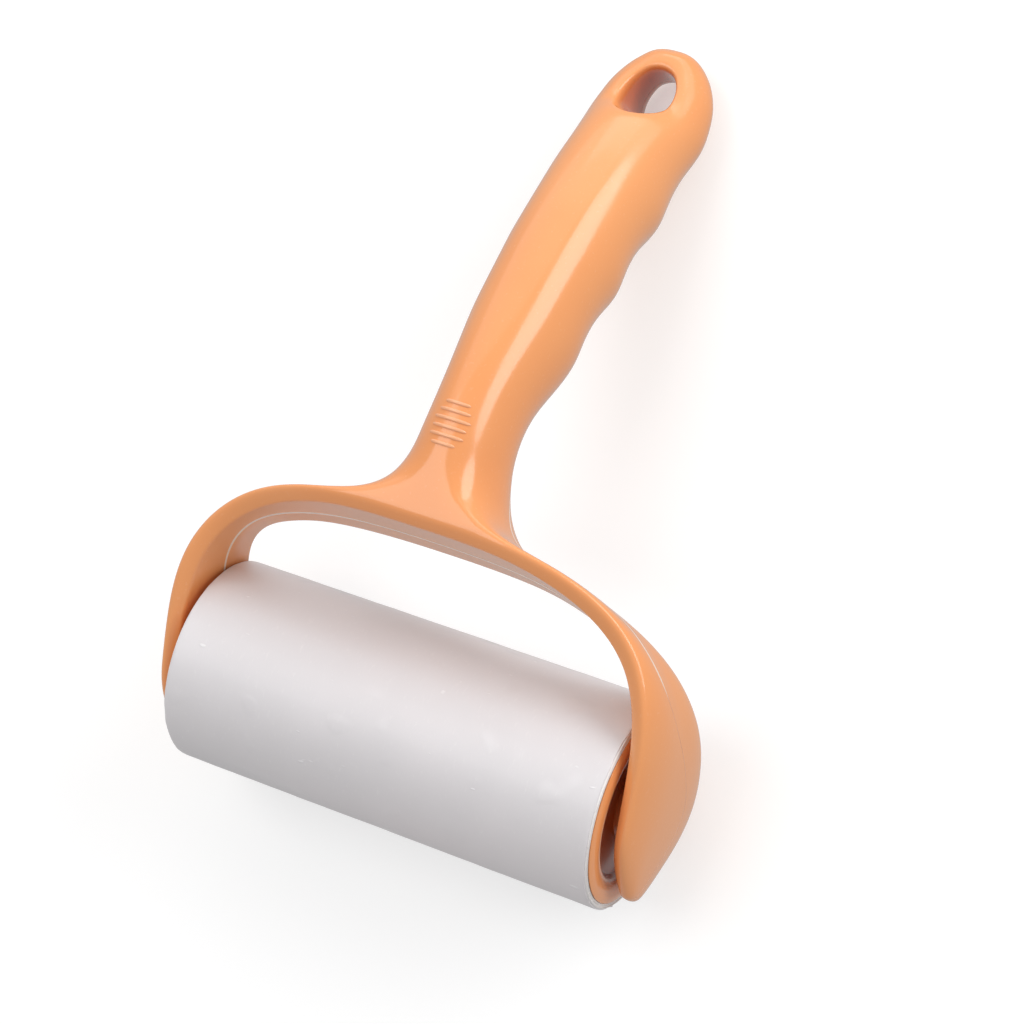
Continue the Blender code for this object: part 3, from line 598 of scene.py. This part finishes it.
def yoke_rings(count):
    """Section loops along the arch: twelve points from the front edge round the outside and back inside.

    Each point is the arch's line moved along its normal by a share of the thickness, plus a draft in height;
    behind the middle the corners of the yoke are relieved outwards.
    """
    q, px, py, nx, ny = arch(count)
    front = through(YOKE_STATIONS, FRONT_EDGE, abs(q))
    rear = through(YOKE_STATIONS, REAR_EDGE, abs(q))
    leaf = through((0, 0.35, 0.6, 1), (0, 0, 1, 1), abs(q)).clip(0, 1)
    thick = STRAP_THICKNESS + (LEAF_THICKNESS - STRAP_THICKNESS) * leaf
    thick = thick * through((0, 0.9, 1), (1, 1, 0.75), abs(q))
    z = front[:, None] + (rear - front)[:, None] * SECTION_ACROSS - SECTION_BULGE * EDGE_BULGE
    middle = (front + rear)[:, None] / 2
    out = SECTION_OUT + (LEAF_SECTION_OUT - SECTION_OUT) * leaf[:, None]
    offset = thick[:, None] * out + STRAP_DRAFT * (1 - leaf)[:, None] * (z - middle)
    corner = through((0, 0.38, 0.57, 0.74, 1), (0, 0, 1, 0, 0), abs(q)).clip(0, 1)
    behind = ((middle - z) / (front - rear)[:, None] * 2).clip(0, 1)
    offset = offset + CORNER_RELIEF * corner[:, None] * behind
    x = px[:, None] + nx[:, None] * offset
    y = py[:, None] + ny[:, None] * offset + YOKE_LEAN * (z - middle)
    return np.stack([x, y, z], axis=2)


def spine(y):
    """Height and unit tangent of the handle's centre line at distance y from the axle."""
    z = through(SPINE_Y, SPINE_Z, y)
    step = 0.5 * MM
    slope = (through(SPINE_Y, SPINE_Z, y + step) - through(SPINE_Y, SPINE_Z, y - step)) / (2 * step)
    size = np.sqrt(1 + slope**2)
    return z, 1 / size, slope / size


def groove(y, depth):
    """Depth of the scallops on the back: the size of a sine, zero on each ridge, after a long run-in."""
    phase = (y - GROOVE_FIRST_Y) / GROOVE_PITCH
    inside = (phase > 0) & (phase < GROOVE_COUNT)
    run_in = (y - NECK_Y) / (GROOVE_FIRST_Y - NECK_Y)
    hollow = RUN_IN_SHARE * np.sin(math.pi * run_in.clip(0, 1)) ** 2
    return depth * (abs(np.sin(math.pi * phase)) * inside + hollow)


def handle_rings(stations, depth):
    """Rings of twenty points: an ellipse across the spine at each station, the grooves cut on its back.

    Near the neck the front points are drawn together, which narrows the flat facet to a wedge.
    """
    sides = ((135, SIDE_FACES), (45, FLANK_FACES), (-45, SIDE_FACES), (-135, FLANK_FACES))
    theta = np.concatenate([np.linspace(start, start - 90, faces + 1)[:-1] for start, faces in sides])
    theta = np.radians(theta)[None]
    y = np.asarray(stations, float)[:, None]
    z, ty, tz = spine(y)
    off_top = np.degrees(theta) - 90
    off_top = np.mod(off_top + 180, 360) - 180
    drawn = np.sign(off_top) * np.interp(abs(off_top), EVEN_ANGLES, FACET_ANGLES)
    near_neck = 1 - smooth_step((y - NECK_Y) / FACET_FADE)
    theta = theta + np.radians(drawn - off_top) * near_neck
    back = (-np.sin(theta) + GROOVE_WRAP).clip(0, 1)
    cut = groove(y, depth) * back
    half_width = through(SPINE_Y, HALF_WIDTH, y) - GROOVE_SIDE_SHARE * cut
    half_depth = through(SPINE_Y, HALF_DEPTH, y) - cut
    x = half_width * RING_SWELL * np.cos(theta)
    n = half_depth * RING_SWELL * np.sin(theta)
    return np.stack([x, y - n * tz, z + n * ty], axis=2)


def handle_surface(x, y, way):
    """Height of the handle's front (way 1) or back (way -1) above the point x, y: an ellipse on the spine."""
    z, ty, _ = spine(y)
    half_width = through(SPINE_Y, HALF_WIDTH, y)
    half_depth = through(SPINE_Y, HALF_DEPTH, y)
    return z + way * half_depth * np.sqrt((1 - (x / half_width) ** 2).clip(0.02)) / ty


def flare_rings(first, neck, count):
    """Rings from the strap up to the neck: a Hermite curve per point, the front side kept straight."""
    side = first[:, 0] / abs(first[:, 0]).max()
    leave = np.stack([-FLARE_INWARDS * side, FLARE_UPWARDS * (1 - side**2), np.zeros_like(side)], axis=1)
    _, ty, tz = spine(np.array(NECK_Y))
    arrive = np.array([0.0, float(ty), float(tz)]) * FLARE_ARRIVAL
    u = (np.arange(1, count + 1) / (count + 1))[:, None, None]
    weights = hermite(u)
    rings = weights[0] * first + weights[1] * leave + weights[2] * neck + weights[3] * arrive
    straight = (1 - u[..., 0]) * first[:, 2] + u[..., 0] * neck[:, 2]
    facet = slice(1, SIDE_FACES)
    rings[:, facet, 2] = straight[:, facet]
    return rings


def four_sides(loop, columns, rows):
    """Bottom, right, top and left side of a closed loop of 2 (columns + rows) items, up and to the right."""
    bottom = loop[: columns + 1]
    right = loop[columns : columns + rows + 1]
    top = loop[columns + rows : 2 * columns + rows + 1][::-1]
    left = np.concatenate([loop[2 * columns + rows :], loop[:1]])[::-1]
    return bottom, right, top, left


def filled(loop, columns, rows):
    """Points inside a closed loop of points, blended from its four sides (a Coons patch)."""
    bottom, right, top, left = four_sides(loop, columns, rows)
    u = np.linspace(0, 1, columns + 1)[:, None, None]
    v = np.linspace(0, 1, rows + 1)[None, :, None]
    ruled = (1 - v) * bottom[:, None] + v * top[:, None] + (1 - u) * left[None] + u * right[None]
    corners = (1 - v) * ((1 - u) * bottom[0] + u * bottom[-1]) + v * ((1 - u) * top[0] + u * top[-1])
    return ruled - corners


class Cage:
    """Coarse control mesh: blocks of points and the faces that join them."""

    def __init__(self):
        self.points = np.zeros((0, 3))
        self.faces = []

    def add(self, points):
        """Adds points and gives their numbers in the same layout."""
        points = np.asarray(points, float)
        first = len(self.points)
        self.points = np.concatenate([self.points, points.reshape(-1, 3)])
        return first + np.arange(points.size // 3).reshape(points.shape[:-1])

    def strip(self, index, keep=None):
        """Faces between successive closed rings of point numbers, all or those where keep is true."""
        ring = np.concatenate([index, index[:, :1]], axis=1)
        quads = np.stack([ring[:-1, :-1], ring[:-1, 1:], ring[1:, 1:], ring[1:, :-1]], axis=-1)
        quads = quads.reshape(-1, 4) if keep is None else quads[keep]
        self.faces.append(quads)

    def close(self, loop, columns, rows, lift):
        """Closes a loop with a patch of faces, its inner points domed: lift times (1 - distance squared)."""
        patch = filled(self.points[loop], columns, rows)
        across = abs(np.linspace(-1, 1, columns + 1))[:, None]
        along = abs(np.linspace(-1, 1, rows + 1))[None, :]
        dome = (1 - np.maximum(across, along) ** 2)[..., None]
        index = np.zeros((columns + 1, rows + 1), int)
        index[:, 0], index[-1], index[:, -1], index[0] = four_sides(loop, columns, rows)
        index[1:-1, 1:-1] = self.add((patch + dome * lift)[1:-1, 1:-1])
        self.faces.append(cells(index))


def block_loop(rows, columns):
    """Numbers round a block of faces: along its first row, up its last column, back and down."""
    return np.concatenate([
        rows[0, columns], rows[1:, columns[-1]], rows[-1, columns[-2::-1]], rows[-2:0:-1, columns[0]]])


def handle_cage(sizes):
    """Control mesh of the yoke, the flare, the handle and the hang hole, and its edges with their creases."""
    cage = Cage()
    yoke = cage.add(yoke_rings(YOKE_FACES))
    left = YOKE_FACES // 2 - SIDE_FACES // 2
    right = left + SIDE_FACES
    keep = np.ones((YOKE_FACES, SECTION_FACES), bool)
    keep[left:right, 2:6] = False
    cage.strip(yoke, keep)
    for end in (yoke[0], yoke[-1]):
        cage.close(np.roll(end, -2), FLANK_FACES, 2, np.array([0, -LEAF_END_ROUND, 0]))
    loop = np.concatenate([
        yoke[left : right + 1, 2], yoke[right, 3:7], yoke[right - 1 : left - 1 : -1, 6], yoke[left, 5:2:-1]])

    hole_y = HOLE_Y + HOLE_HALF_LENGTH * HOLE_RINGS
    ridges = GROOVE_FIRST_Y + GROOVE_PITCH / 4 * np.arange(4 * GROOVE_COUNT + 1)
    tip = [BEYOND_HOLE_Y, TIP_SHOULDER_Y, TIP_RING_Y]
    stations = np.concatenate([[NECK_Y], NECK_RINGS_Y, ridges, hole_y, tip])
    first_hole = len(NECK_RINGS_Y) + len(ridges)
    rings = handle_rings(stations, sizes.groove_depth)
    flare = cage.add(flare_rings(cage.points[loop], rings[0], FLARE_RINGS))
    handle = cage.add(rings)
    tube = np.concatenate([loop[None], flare, handle])
    keep = np.ones((len(tube) - 1, tube.shape[1]), bool)
    before_hole = 1 + FLARE_RINGS + first_hole
    hole_rows = slice(before_hole, before_hole + 3)
    keep[hole_rows, 1 : 1 + FLANK_FACES] = False
    rear_first = SIDE_FACES + FLANK_FACES + 1
    keep[hole_rows, rear_first : rear_first + FLANK_FACES] = False
    cage.strip(tube, keep)
    hang_hole(cage, handle[first_hole : first_hole + 4])
    _, ty, tz = spine(np.array(TIP_Y))
    cage.close(handle[-1], SIDE_FACES, FLANK_FACES, np.array([0.0, float(ty), float(tz)]) * TIP_DOME)

    front_edge, rear_edge = yoke[:, 0], yoke[:, 8]
    strap_top = yoke[left + 1 : right, 2]
    flare_left, flare_right = tube[:3, 1], tube[:3, SIDE_FACES - 1]
    creases = [
        (edge_pairs(front_edge), 0.6),
        (edge_pairs(rear_edge), 0.45),
        (edge_pairs(strap_top), 0.45),
        (edge_pairs(flare_left), 0.2),
        (edge_pairs(flare_right), 0.45),
    ]
    return cage, creases


def edge_pairs(line):
    """Edges between the successive points of a line, as pairs of point numbers."""
    return np.stack([line[:-1], line[1:]], axis=1)


def hang_hole(cage, rows):
    """Joins the front and rear openings with an oval tube along Z, its mouths rounded over.

    Each loop goes to an oval on the surface, a rim wider than the hole, each point at its own angle; the
    next ring is the hole's own oval, a little below the surface.
    """
    front = block_loop(rows, np.arange(1, 2 + FLANK_FACES))
    base = SIDE_FACES + FLANK_FACES
    rear = block_loop(rows, np.arange(base + SIDE_FACES - 1, base, -1))
    mouths = []
    for loop, way in ((front, 1), (rear, -1)):
        at = cage.points[loop]
        angle = np.arctan2((at[:, 1] - HOLE_Y) / HOLE_HALF_LENGTH, at[:, 0] / HOLE_HALF_WIDTH)
        for rim, depth, added in ((HOLE_MOUTH_RIM, 0.0, False), (0.0, HOLE_MOUTH_DEPTH, True)):
            x = (HOLE_HALF_WIDTH + rim) * np.cos(angle)
            y = HOLE_Y + (HOLE_HALF_LENGTH + rim) * np.sin(angle)
            z = handle_surface(x, y, way) - way * depth
            ring = np.stack([x, y, z], axis=1)
            if added:
                mouths.append(cage.add(ring))
            else:
                cage.points[loop] = ring
        cage.strip(np.stack([loop, mouths[-1]]))
    cage.strip(np.stack(mouths))


def handle_skin(sizes):
    """The whole handle's smooth surface as a mesh: the control mesh, creased, then subdivided."""
    cage, creases = handle_cage(sizes)
    points = cage.points + np.array([0, AXLE_Y, 0])
    data = bpy.data.meshes.new("handle_skin")
    data.from_pydata(points.tolist(), [], np.concatenate(cage.faces).tolist())
    ends = np.zeros(2 * len(data.edges), int)
    data.edges.foreach_get("vertices", ends)
    edge_key = np.array([len(points), 1])
    keys = np.sort(ends.reshape(-1, 2), axis=1) @ edge_key
    crease = np.zeros(len(keys), np.float32)
    for pairs, weight in creases:
        crease[np.isin(keys, np.sort(pairs, axis=1) @ edge_key)] = weight
    data.attributes.new("crease_edge", "FLOAT", "EDGE").data.foreach_set("value", crease)
    work = bmesh.new()
    work.from_mesh(data)
    loose = [v for v in work.verts if not v.link_faces]
    bmesh.ops.delete(work, geom=loose, context="VERTS")
    bmesh.ops.recalc_face_normals(work, faces=work.faces)
    work.to_mesh(data)
    work.free()
    holder = linked("handle_skin", data)
    smooth = holder.modifiers.new("smooth", "SUBSURF")
    smooth.levels = sizes.smoothing
    smooth.render_levels = sizes.smoothing
    ready = holder.evaluated_get(bpy.context.evaluated_depsgraph_get())
    result = bpy.data.meshes.new_from_object(ready)
    bpy.data.objects.remove(holder)
    return result


def shell(name, skin, side, gap):
    """One side of the skin: sheared until the parting surface z = P(y) is level, cut, filled, sheared back.

    The number "seam" is the distance from the cut in millimetres, kept large away from the line, and
    "hollow", the painted shade, grows down the hang hole.
    """
    data = skin.copy()
    data.name = name
    at = coordinates(data)
    parting = through(PARTING_Y, PARTING_Z, at[:, 1] - AXLE_Y)
    at[:, 2] = at[:, 2].clip(0) - parting
    data.vertices.foreach_set("co", at.ravel())
    work = bmesh.new()
    work.from_mesh(data)
    everything = work.verts[:] + work.edges[:] + work.faces[:]
    cut = bmesh.ops.bisect_plane(work, geom=everything, dist=1e-8, plane_co=(0, 0, side * gap / 2),
                                 plane_no=(0, 0, side), clear_inner=True)
    rim = [item for item in cut["geom_cut"] if isinstance(item, bmesh.types.BMEdge)]
    bmesh.ops.triangle_fill(work, edges=rim, use_beauty=True, normal=(0, 0, -side))
    bmesh.ops.recalc_face_normals(work, faces=work.faces)
    work.to_mesh(data)
    work.free()
    at = coordinates(data)
    seam = (abs(at[:, 2]) - gap / 2).clip(0) / MM
    at[:, 2] += through(PARTING_Y, PARTING_Z, at[:, 1] - AXLE_Y)
    from_axle = at[:, 1] - AXLE_Y
    in_hole = np.hypot(at[:, 0] / HOLE_HALF_WIDTH, (from_axle - HOLE_Y) / HOLE_HALF_LENGTH) < HOLE_REACH
    seam[in_hole] = 1.0
    seam += LEAF_SEAM_FADE * smooth_step((abs(at[:, 0]) - YOKE_HALF_SPAN) / (3 * MM))
    below = handle_surface(at[:, 0], from_axle, 1) - at[:, 2]
    data.vertices.foreach_set("co", at.ravel())
    store(data, "seam", seam)
    # painted shade on the hang hole's walls, darker deeper below the front surface
    store(data, "hollow", in_hole * smooth_step((below - HOLLOW_SHADE_START) / HOLLOW_SHADE_RUN))
    data.update()
    data.shade_smooth()
    return data


# ---- other pieces


def rib_points(sizes, along=24, around=14):
    """Thumb ribs: a low rod along X over the neck's surface, its section falling to nothing at both ends.

    The section is an ellipse six tenths as high as it is wide; its half width at u, from -1 to 1, is the
    rib's own times the square root of 1 less u to the sixth power.
    """
    u = np.linspace(-1, 1, along)[None, :, None]
    phi = np.linspace(0, 2 * math.pi, around, endpoint=False)[None, None, :]
    half = RIB_HALF_LENGTHS[:, None, None]
    x = half * u + 0 * phi
    radius = sizes.rib_radius * np.sqrt((1 - u**6).clip(0.002)) + 0 * phi + 0 * half
    rows = RIB_ROWS_Y[:, None, None]
    base = handle_surface(x, rows + 0 * x, 1) - RIB_SUNK
    y = AXLE_Y + rows + radius * np.cos(phi)
    return np.stack([x, y, base + RIB_HEIGHT_SHARE * radius * np.sin(phi)], axis=-1)


def cap_outline(side):
    """Outline of an end cap: bore, hub, dished face, rounded rim, skirt and its inside, with soft corners."""
    seat = CAP_SEAT_X
    rim = CAP_RIM_X
    lip = CORE_OUTER + 0.15 * MM
    dish = rim - 2.2 * MM
    back = rim - 3.8 * MM
    bore = AXLE_RADIUS + 0.3 * MM
    hub = 6.5 * MM
    hub_face = CAP_FACE_X + 0.4 * MM
    hub_end = CAP_FACE_X - 11.0 * MM
    closed = hub_end + 1.6 * MM
    skirt = CAP_RADIUS - 0.2 * MM
    inside = skirt - 1.6 * MM
    pole = 0.02 * MM
    rows = (  # distance along X, radius, softness of the corner in millimetres
        (closed, pole, 0), (closed, bore, 0.1), (hub_face, bore, 0.35), (hub_face, hub, 0.35),
        (dish, hub + 0.7 * MM, 0.3), (dish, lip - 6.0 * MM, 0.3), (rim - 0.5 * MM, lip - 5.0 * MM, 0.8),
        (rim, lip - 3.2 * MM, 0.8), (rim - 0.08 * MM, lip - 1.3 * MM, 0.6), (seat + 0.25 * MM, lip, 0.1),
        (seat, lip, 0.08), (seat, skirt, 0.2), (CAP_DEEP_X, skirt, 0.3), (CAP_DEEP_X, inside, 0.3),
        (back, inside, 0.3), (back, hub, 0.3), (hub_end, hub, 0.3), (hub_end, pole, 0),
    )
    corners, soft = np.array(rows)[:, :2], np.array(rows)[:, 2] * MM
    ends = CORNER_STEPS - 1
    outline = softened(corners, soft, CORNER_STEPS)[ends:-ends]
    outline[:, 0] *= side
    return outline


def end_cap_mesh(name, side, sides=128):
    """An end cap's outline turned about the roll's axis; "hollow", painted shade, grows with the depth below
    its rim.
    """
    x, radius = cap_outline(side).T[..., None]
    points = round_axle(x, radius, np.linspace(0, 2 * math.pi, sides, endpoint=False))
    rows = len(points)
    quads = grid_faces(rows, sides, wrap_columns=True)
    first = list(range(sides))
    last = list(range((rows - 1) * sides, rows * sides))
    data = make_mesh(name, points, quads, [first[::-1], last])
    # painted shade in the cap's dished recess, darker with depth below the rim
    sunk = CAP_RIM_X - abs(coordinates(data)[:, 0])
    store(data, "hollow", smooth_step((sunk - 0.3 * MM) / (1.5 * MM)))
    return data


def wound_paper_mesh(name, inner, outer, sides=240, rings=26):
    """Wound layers: a tube whose two end faces step in and out ring by ring and wander with the angle."""
    theta = np.linspace(0, 2 * math.pi, sides, endpoint=False)
    share = np.linspace(0, 1, rings)
    radius = inner + (outer - inner) * share
    stagger = ripple_field(theta[None, :], 2 * math.pi * share[:, None], seed=11, terms=14, reach=9)
    steps = np.random.default_rng(5).uniform(0, 1, rings)[:, None]
    inset = (0.22 * stagger + 0.16 * steps) * MM
    ends = []
    for side in (1, -1):
        ends.append(round_axle(side * (PAPER_END_X - inset), radius[:, None], theta)[::side])
    points = np.concatenate(ends)
    return make_mesh(name, points, grid_faces(len(points), sides, wrap_rows=True, wrap_columns=True))


def outer_sheet_mesh(name, sizes, around=360, along=110):
    """Sheet in use: one turn round the roll, shallow ripples inwards, a lifted free edge and frayed ends.

    Radius = roll radius - wrinkle depth times a field of sines + lift, which grows over the last degrees of
    the turn; the ends of each line along X are pulled in, and curled in, by a second field.
    """
    gap = SHEET_GAP / ROLL_RADIUS
    turn = np.linspace(gap / 2, 2 * math.pi - gap / 2, around)
    theta = SHEET_START + turn
    u = np.linspace(-1, 1, along)
    field = ripple_field(theta[:, None], 2.2 * math.pi * u[None], seed=3, terms=16, reach=7)
    lift = sizes.edge_lift * smooth_step(1 - (2 * math.pi - turn) / LIFTED_TURN) ** 2
    fray = ripple_field(theta[:, None], 0 * u[None] + 1.0, seed=8, terms=18, reach=40)
    half = ROLL_LENGTH / 2 - (0.05 + 0.28 * fray) * MM
    shape = smooth_step(abs(u)[None] * 12 - 11)
    x = u[None] * (ROLL_LENGTH / 2) * (1 - shape) + np.sign(u)[None] * half * shape
    curl = 0.22 * MM * smooth_step((abs(u)[None] - 0.965) / 0.035) * (0.4 + 0.6 * fray)
    outer = ROLL_RADIUS - sizes.wrinkle * field + lift[:, None] - curl
    layers = np.stack([round_axle(x, radius, theta[:, None]) for radius in (outer, outer - PAPER_LAYER)])
    layers[..., 2] = layers[..., 2].clip(SHEET_LOW.z)
    count = around * along
    index = np.arange(count).reshape(around, along)
    border = np.concatenate([index[0, :-1], index[:-1, -1], index[-1, :0:-1], index[:0:-1, 0]])
    following = np.roll(border, -1)
    walls = np.stack([border, following, following + count, border + count], axis=1)
    inside = grid_faces(around, along, first=count)[:, ::-1]
    quads = np.concatenate([grid_faces(around, along), inside, walls])
    return make_mesh(name, layers, quads)


def floor_mesh(name, reach=6.0, rings=40, sides=72):
    """Round floor whose outer half sweeps up: the sweep's height times the smooth step across that half."""
    radius = np.linspace(0.01, reach, rings)[:, None]
    angle = np.linspace(0, 2 * math.pi, sides, endpoint=False)[None]
    sweep = smooth_step((radius - reach / 2) / (reach / 2))
    z = SWEEP_HEIGHT * sweep - FLOOR_BELOW + 0 * angle
    points = np.stack([radius * np.cos(angle), radius * np.sin(angle), z], axis=-1)
    data = bpy.data.meshes.new(name)
    faces = grid_faces(rings, sides, wrap_columns=True).tolist() + [list(range(sides))]
    data.from_pydata(points.reshape(-1, 3).tolist(), [], faces)
    data.shade_smooth()
    return data


def area_light(name, shape, place, aim, width, height, power):
    """Flat soft light at a place, facing the aim."""
    data = bpy.data.lights.new(name, "AREA")
    data.shape = shape
    data.size = width
    data.size_y = height
    data.energy = power
    obj = linked(name, data)
    obj.location = place
    obj.rotation_euler = (Vector(aim) - Vector(place)).to_track_quat("-Z", "Y").to_euler()


def finish_node(node, material):
    """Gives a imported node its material."""
    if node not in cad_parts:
        raise RuntimeError(f"the packed model has no node {node}")
    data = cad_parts[node].data
    data.materials.clear()
    data.materials.append(material)


# ---- operators


class LINTROLLER_OT_handle_shells(bpy.types.Operator):
    """Builds the front and rear shells of the handle and yoke, parted along their seam"""

    bl_idname = "lintroller.handle_shells"
    bl_label = "Handle Shells"

    def execute(self, context):
        sizes = context.scene.lint_roller_sizes
        skin = handle_skin(sizes)
        material = moulded_plastic("glossy_orange_handle", context.scene.lint_roller_colours, seamed=True)
        for node, side in (("front_shell", 1), ("rear_shell", -1)):
            data = shell(f"{node}_surface", skin, side, sizes.seam_gap)
            if len(data.polygons) < FEWEST_FACES:
                raise RuntimeError(f"{node}: the cut left too few faces")
            piece(f"{node}_finish", data, material, "handle", [node], sharp=40.0)
        bpy.data.meshes.remove(skin)
        return {"FINISHED"}


class LINTROLLER_OT_thumb_ribs(bpy.types.Operator):
    """Builds the six low ribs across the front of the neck"""

    bl_idname = "lintroller.thumb_ribs"
    bl_label = "Thumb Ribs"

    def execute(self, context):
        points = rib_points(context.scene.lint_roller_sizes)
        ribs, along, around = points.shape[:3]
        size = along * around
        rods = [grid_faces(along, around, wrap_columns=True, first=k * size) for k in range(ribs)]
        ends = [list(range(k * size, k * size + around))[::-1] for k in range(ribs)]
        ends += [list(range((k + 1) * size - around, (k + 1) * size)) for k in range(ribs)]
        data = make_mesh("thumb_ribs_surface", points, np.concatenate(rods), ends)
        colours = context.scene.lint_roller_colours
        # the ribs are paled all over, a painted highlight for the light their tops catch
        material = moulded_plastic("glossy_orange_ribs", colours, seamed=False, painted_highlight=0.16)
        piece("thumb_ribs", data, material, "handle")
        return {"FINISHED"}


class LINTROLLER_OT_stub_axles(bpy.types.Operator):
    """Gives the two stub axles their plastic"""

    bl_idname = "lintroller.stub_axles"
    bl_label = "Stub Axles"

    def execute(self, context):
        material = axle_plastic("milky_axle_plastic", context.scene.lint_roller_colours)
        for node in ("left_stub_axle", "right_stub_axle"):
            finish_node(node, material)
        return {"FINISHED"}


class LINTROLLER_OT_end_caps(bpy.types.Operator):
    """Builds the two end caps that hold the core"""

    bl_idname = "lintroller.end_caps"
    bl_label = "End Caps"

    def execute(self, context):
        material = moulded_plastic("glossy_orange_caps", context.scene.lint_roller_colours, seamed=False)
        for node, side in (("left_end_cap", -1), ("right_end_cap", 1)):
            data = end_cap_mesh(f"{node}_surface", side)
            piece(f"{node}_finish", data, material, "roll", [node])
        return {"FINISHED"}


class LINTROLLER_OT_wound_paper(bpy.types.Operator):
    """Builds the cardboard core's finish and the wound layers of paper"""

    bl_idname = "lintroller.wound_paper"
    bl_label = "Core and Wound Paper"

    def execute(self, context):
        colours = context.scene.lint_roller_colours
        finish_node("paper_core", core_board("brown_core_board", colours))
        inner, outer = CORE_OUTER + 0.1 * MM, ROLL_RADIUS - 0.42 * MM
        data = wound_paper_mesh("wound_paper_surface", inner, outer)
        material = wound_edges("paper_layer_edges", colours)
        piece("wound_paper", data, material, "roll", ["adhesive_paper_roll"], sharp=50.0)
        return {"FINISHED"}


class LINTROLLER_OT_outer_sheet(bpy.types.Operator):
    """Builds the outer adhesive sheet with its ripples and free edge"""

    bl_idname = "lintroller.outer_sheet"
    bl_label = "Outer Sheet"

    def execute(self, context):
        data = outer_sheet_mesh("outer_sheet_surface", context.scene.lint_roller_sizes)
        material = adhesive_paper("white_adhesive_paper", context.scene.lint_roller_colours)
        piece("outer_sheet_finish", data, material, "roll", ["outer_sheet"])
        return {"FINISHED"}


class LINTROLLER_OT_stage(bpy.types.Operator):
    """Sets up the floor, the studio lights and the camera"""

    bl_idname = "lintroller.stage"
    bl_label = "Stage"

    def execute(self, context):
        scene = context.scene
        data = floor_mesh("studio_floor")
        data.materials.append(studio_floor("pale_studio_floor", scene.lint_roller_colours))
        floor = linked("studio_floor", data)
        floor.visible_diffuse = False
        floor.visible_glossy = False
        floor.visible_shadow = False
        world = bpy.data.worlds.new("studio_surround")
        world.use_nodes = True
        surround = world.node_tree.nodes["Background"].inputs
        surround["Color"].default_value = (1.0, 1.0, 1.0, 1.0)
        surround["Strength"].default_value = SURROUND_STRENGTH
        scene.world = world
        for light in LIGHTS:
            area_light(*light)
        scene.view_settings.view_transform = "Standard"
        lens = bpy.data.cameras.new("studio_camera")
        lens.sensor_width = SENSOR_WIDTH
        lens.lens = FOCAL_LENGTH
        lens.clip_start = 0.01
        camera = linked("studio_camera", lens)
        camera.location = CAMERA_PLACE
        camera.rotation_euler = Euler([math.radians(a) for a in CAMERA_TURN])
        scene.camera = camera
        return {"FINISHED"}


class LINTROLLER_PT_panel(bpy.types.Panel):
    """Lists the lint roller's pieces, sizes and colours"""

    bl_idname = "LINTROLLER_PT_panel"
    bl_label = "Lint Roller"
    bl_space_type = "VIEW_3D"
    bl_region_type = "UI"
    bl_category = "Lint Roller"

    def draw(self, context):
        layout = self.layout
        for operator in OPERATORS:
            layout.operator(operator.bl_idname)
        for group in (context.scene.lint_roller_sizes, context.scene.lint_roller_colours):
            box = layout.box()
            for name in group.__annotations__:
                box.prop(group, name)


OPERATORS = (
    LINTROLLER_OT_handle_shells,
    LINTROLLER_OT_thumb_ribs,
    LINTROLLER_OT_stub_axles,
    LINTROLLER_OT_end_caps,
    LINTROLLER_OT_wound_paper,
    LINTROLLER_OT_outer_sheet,
    LINTROLLER_OT_stage,
)
CLASSES = (LintRollerSizes, LintRollerColours, *OPERATORS, LINTROLLER_PT_panel)


def register():
    """Registers the classes and puts the sizes and colours on the scene."""
    for cls in CLASSES:
        bpy.utils.register_class(cls)
    bpy.types.Scene.lint_roller_sizes = PointerProperty(type=LintRollerSizes)
    bpy.types.Scene.lint_roller_colours = PointerProperty(type=LintRollerColours)


def unregister():
    """Undoes register."""
    del bpy.types.Scene.lint_roller_colours
    del bpy.types.Scene.lint_roller_sizes
    for cls in reversed(CLASSES):
        bpy.utils.unregister_class(cls)


def main():
    """Builds every piece and the stage."""
    register()
    bpy.ops.lintroller.handle_shells()
    bpy.ops.lintroller.thumb_ribs()
    bpy.ops.lintroller.stub_axles()
    bpy.ops.lintroller.end_caps()
    bpy.ops.lintroller.wound_paper()
    bpy.ops.lintroller.outer_sheet()
    bpy.ops.lintroller.stage()


if __name__ == "__main__":
    main()
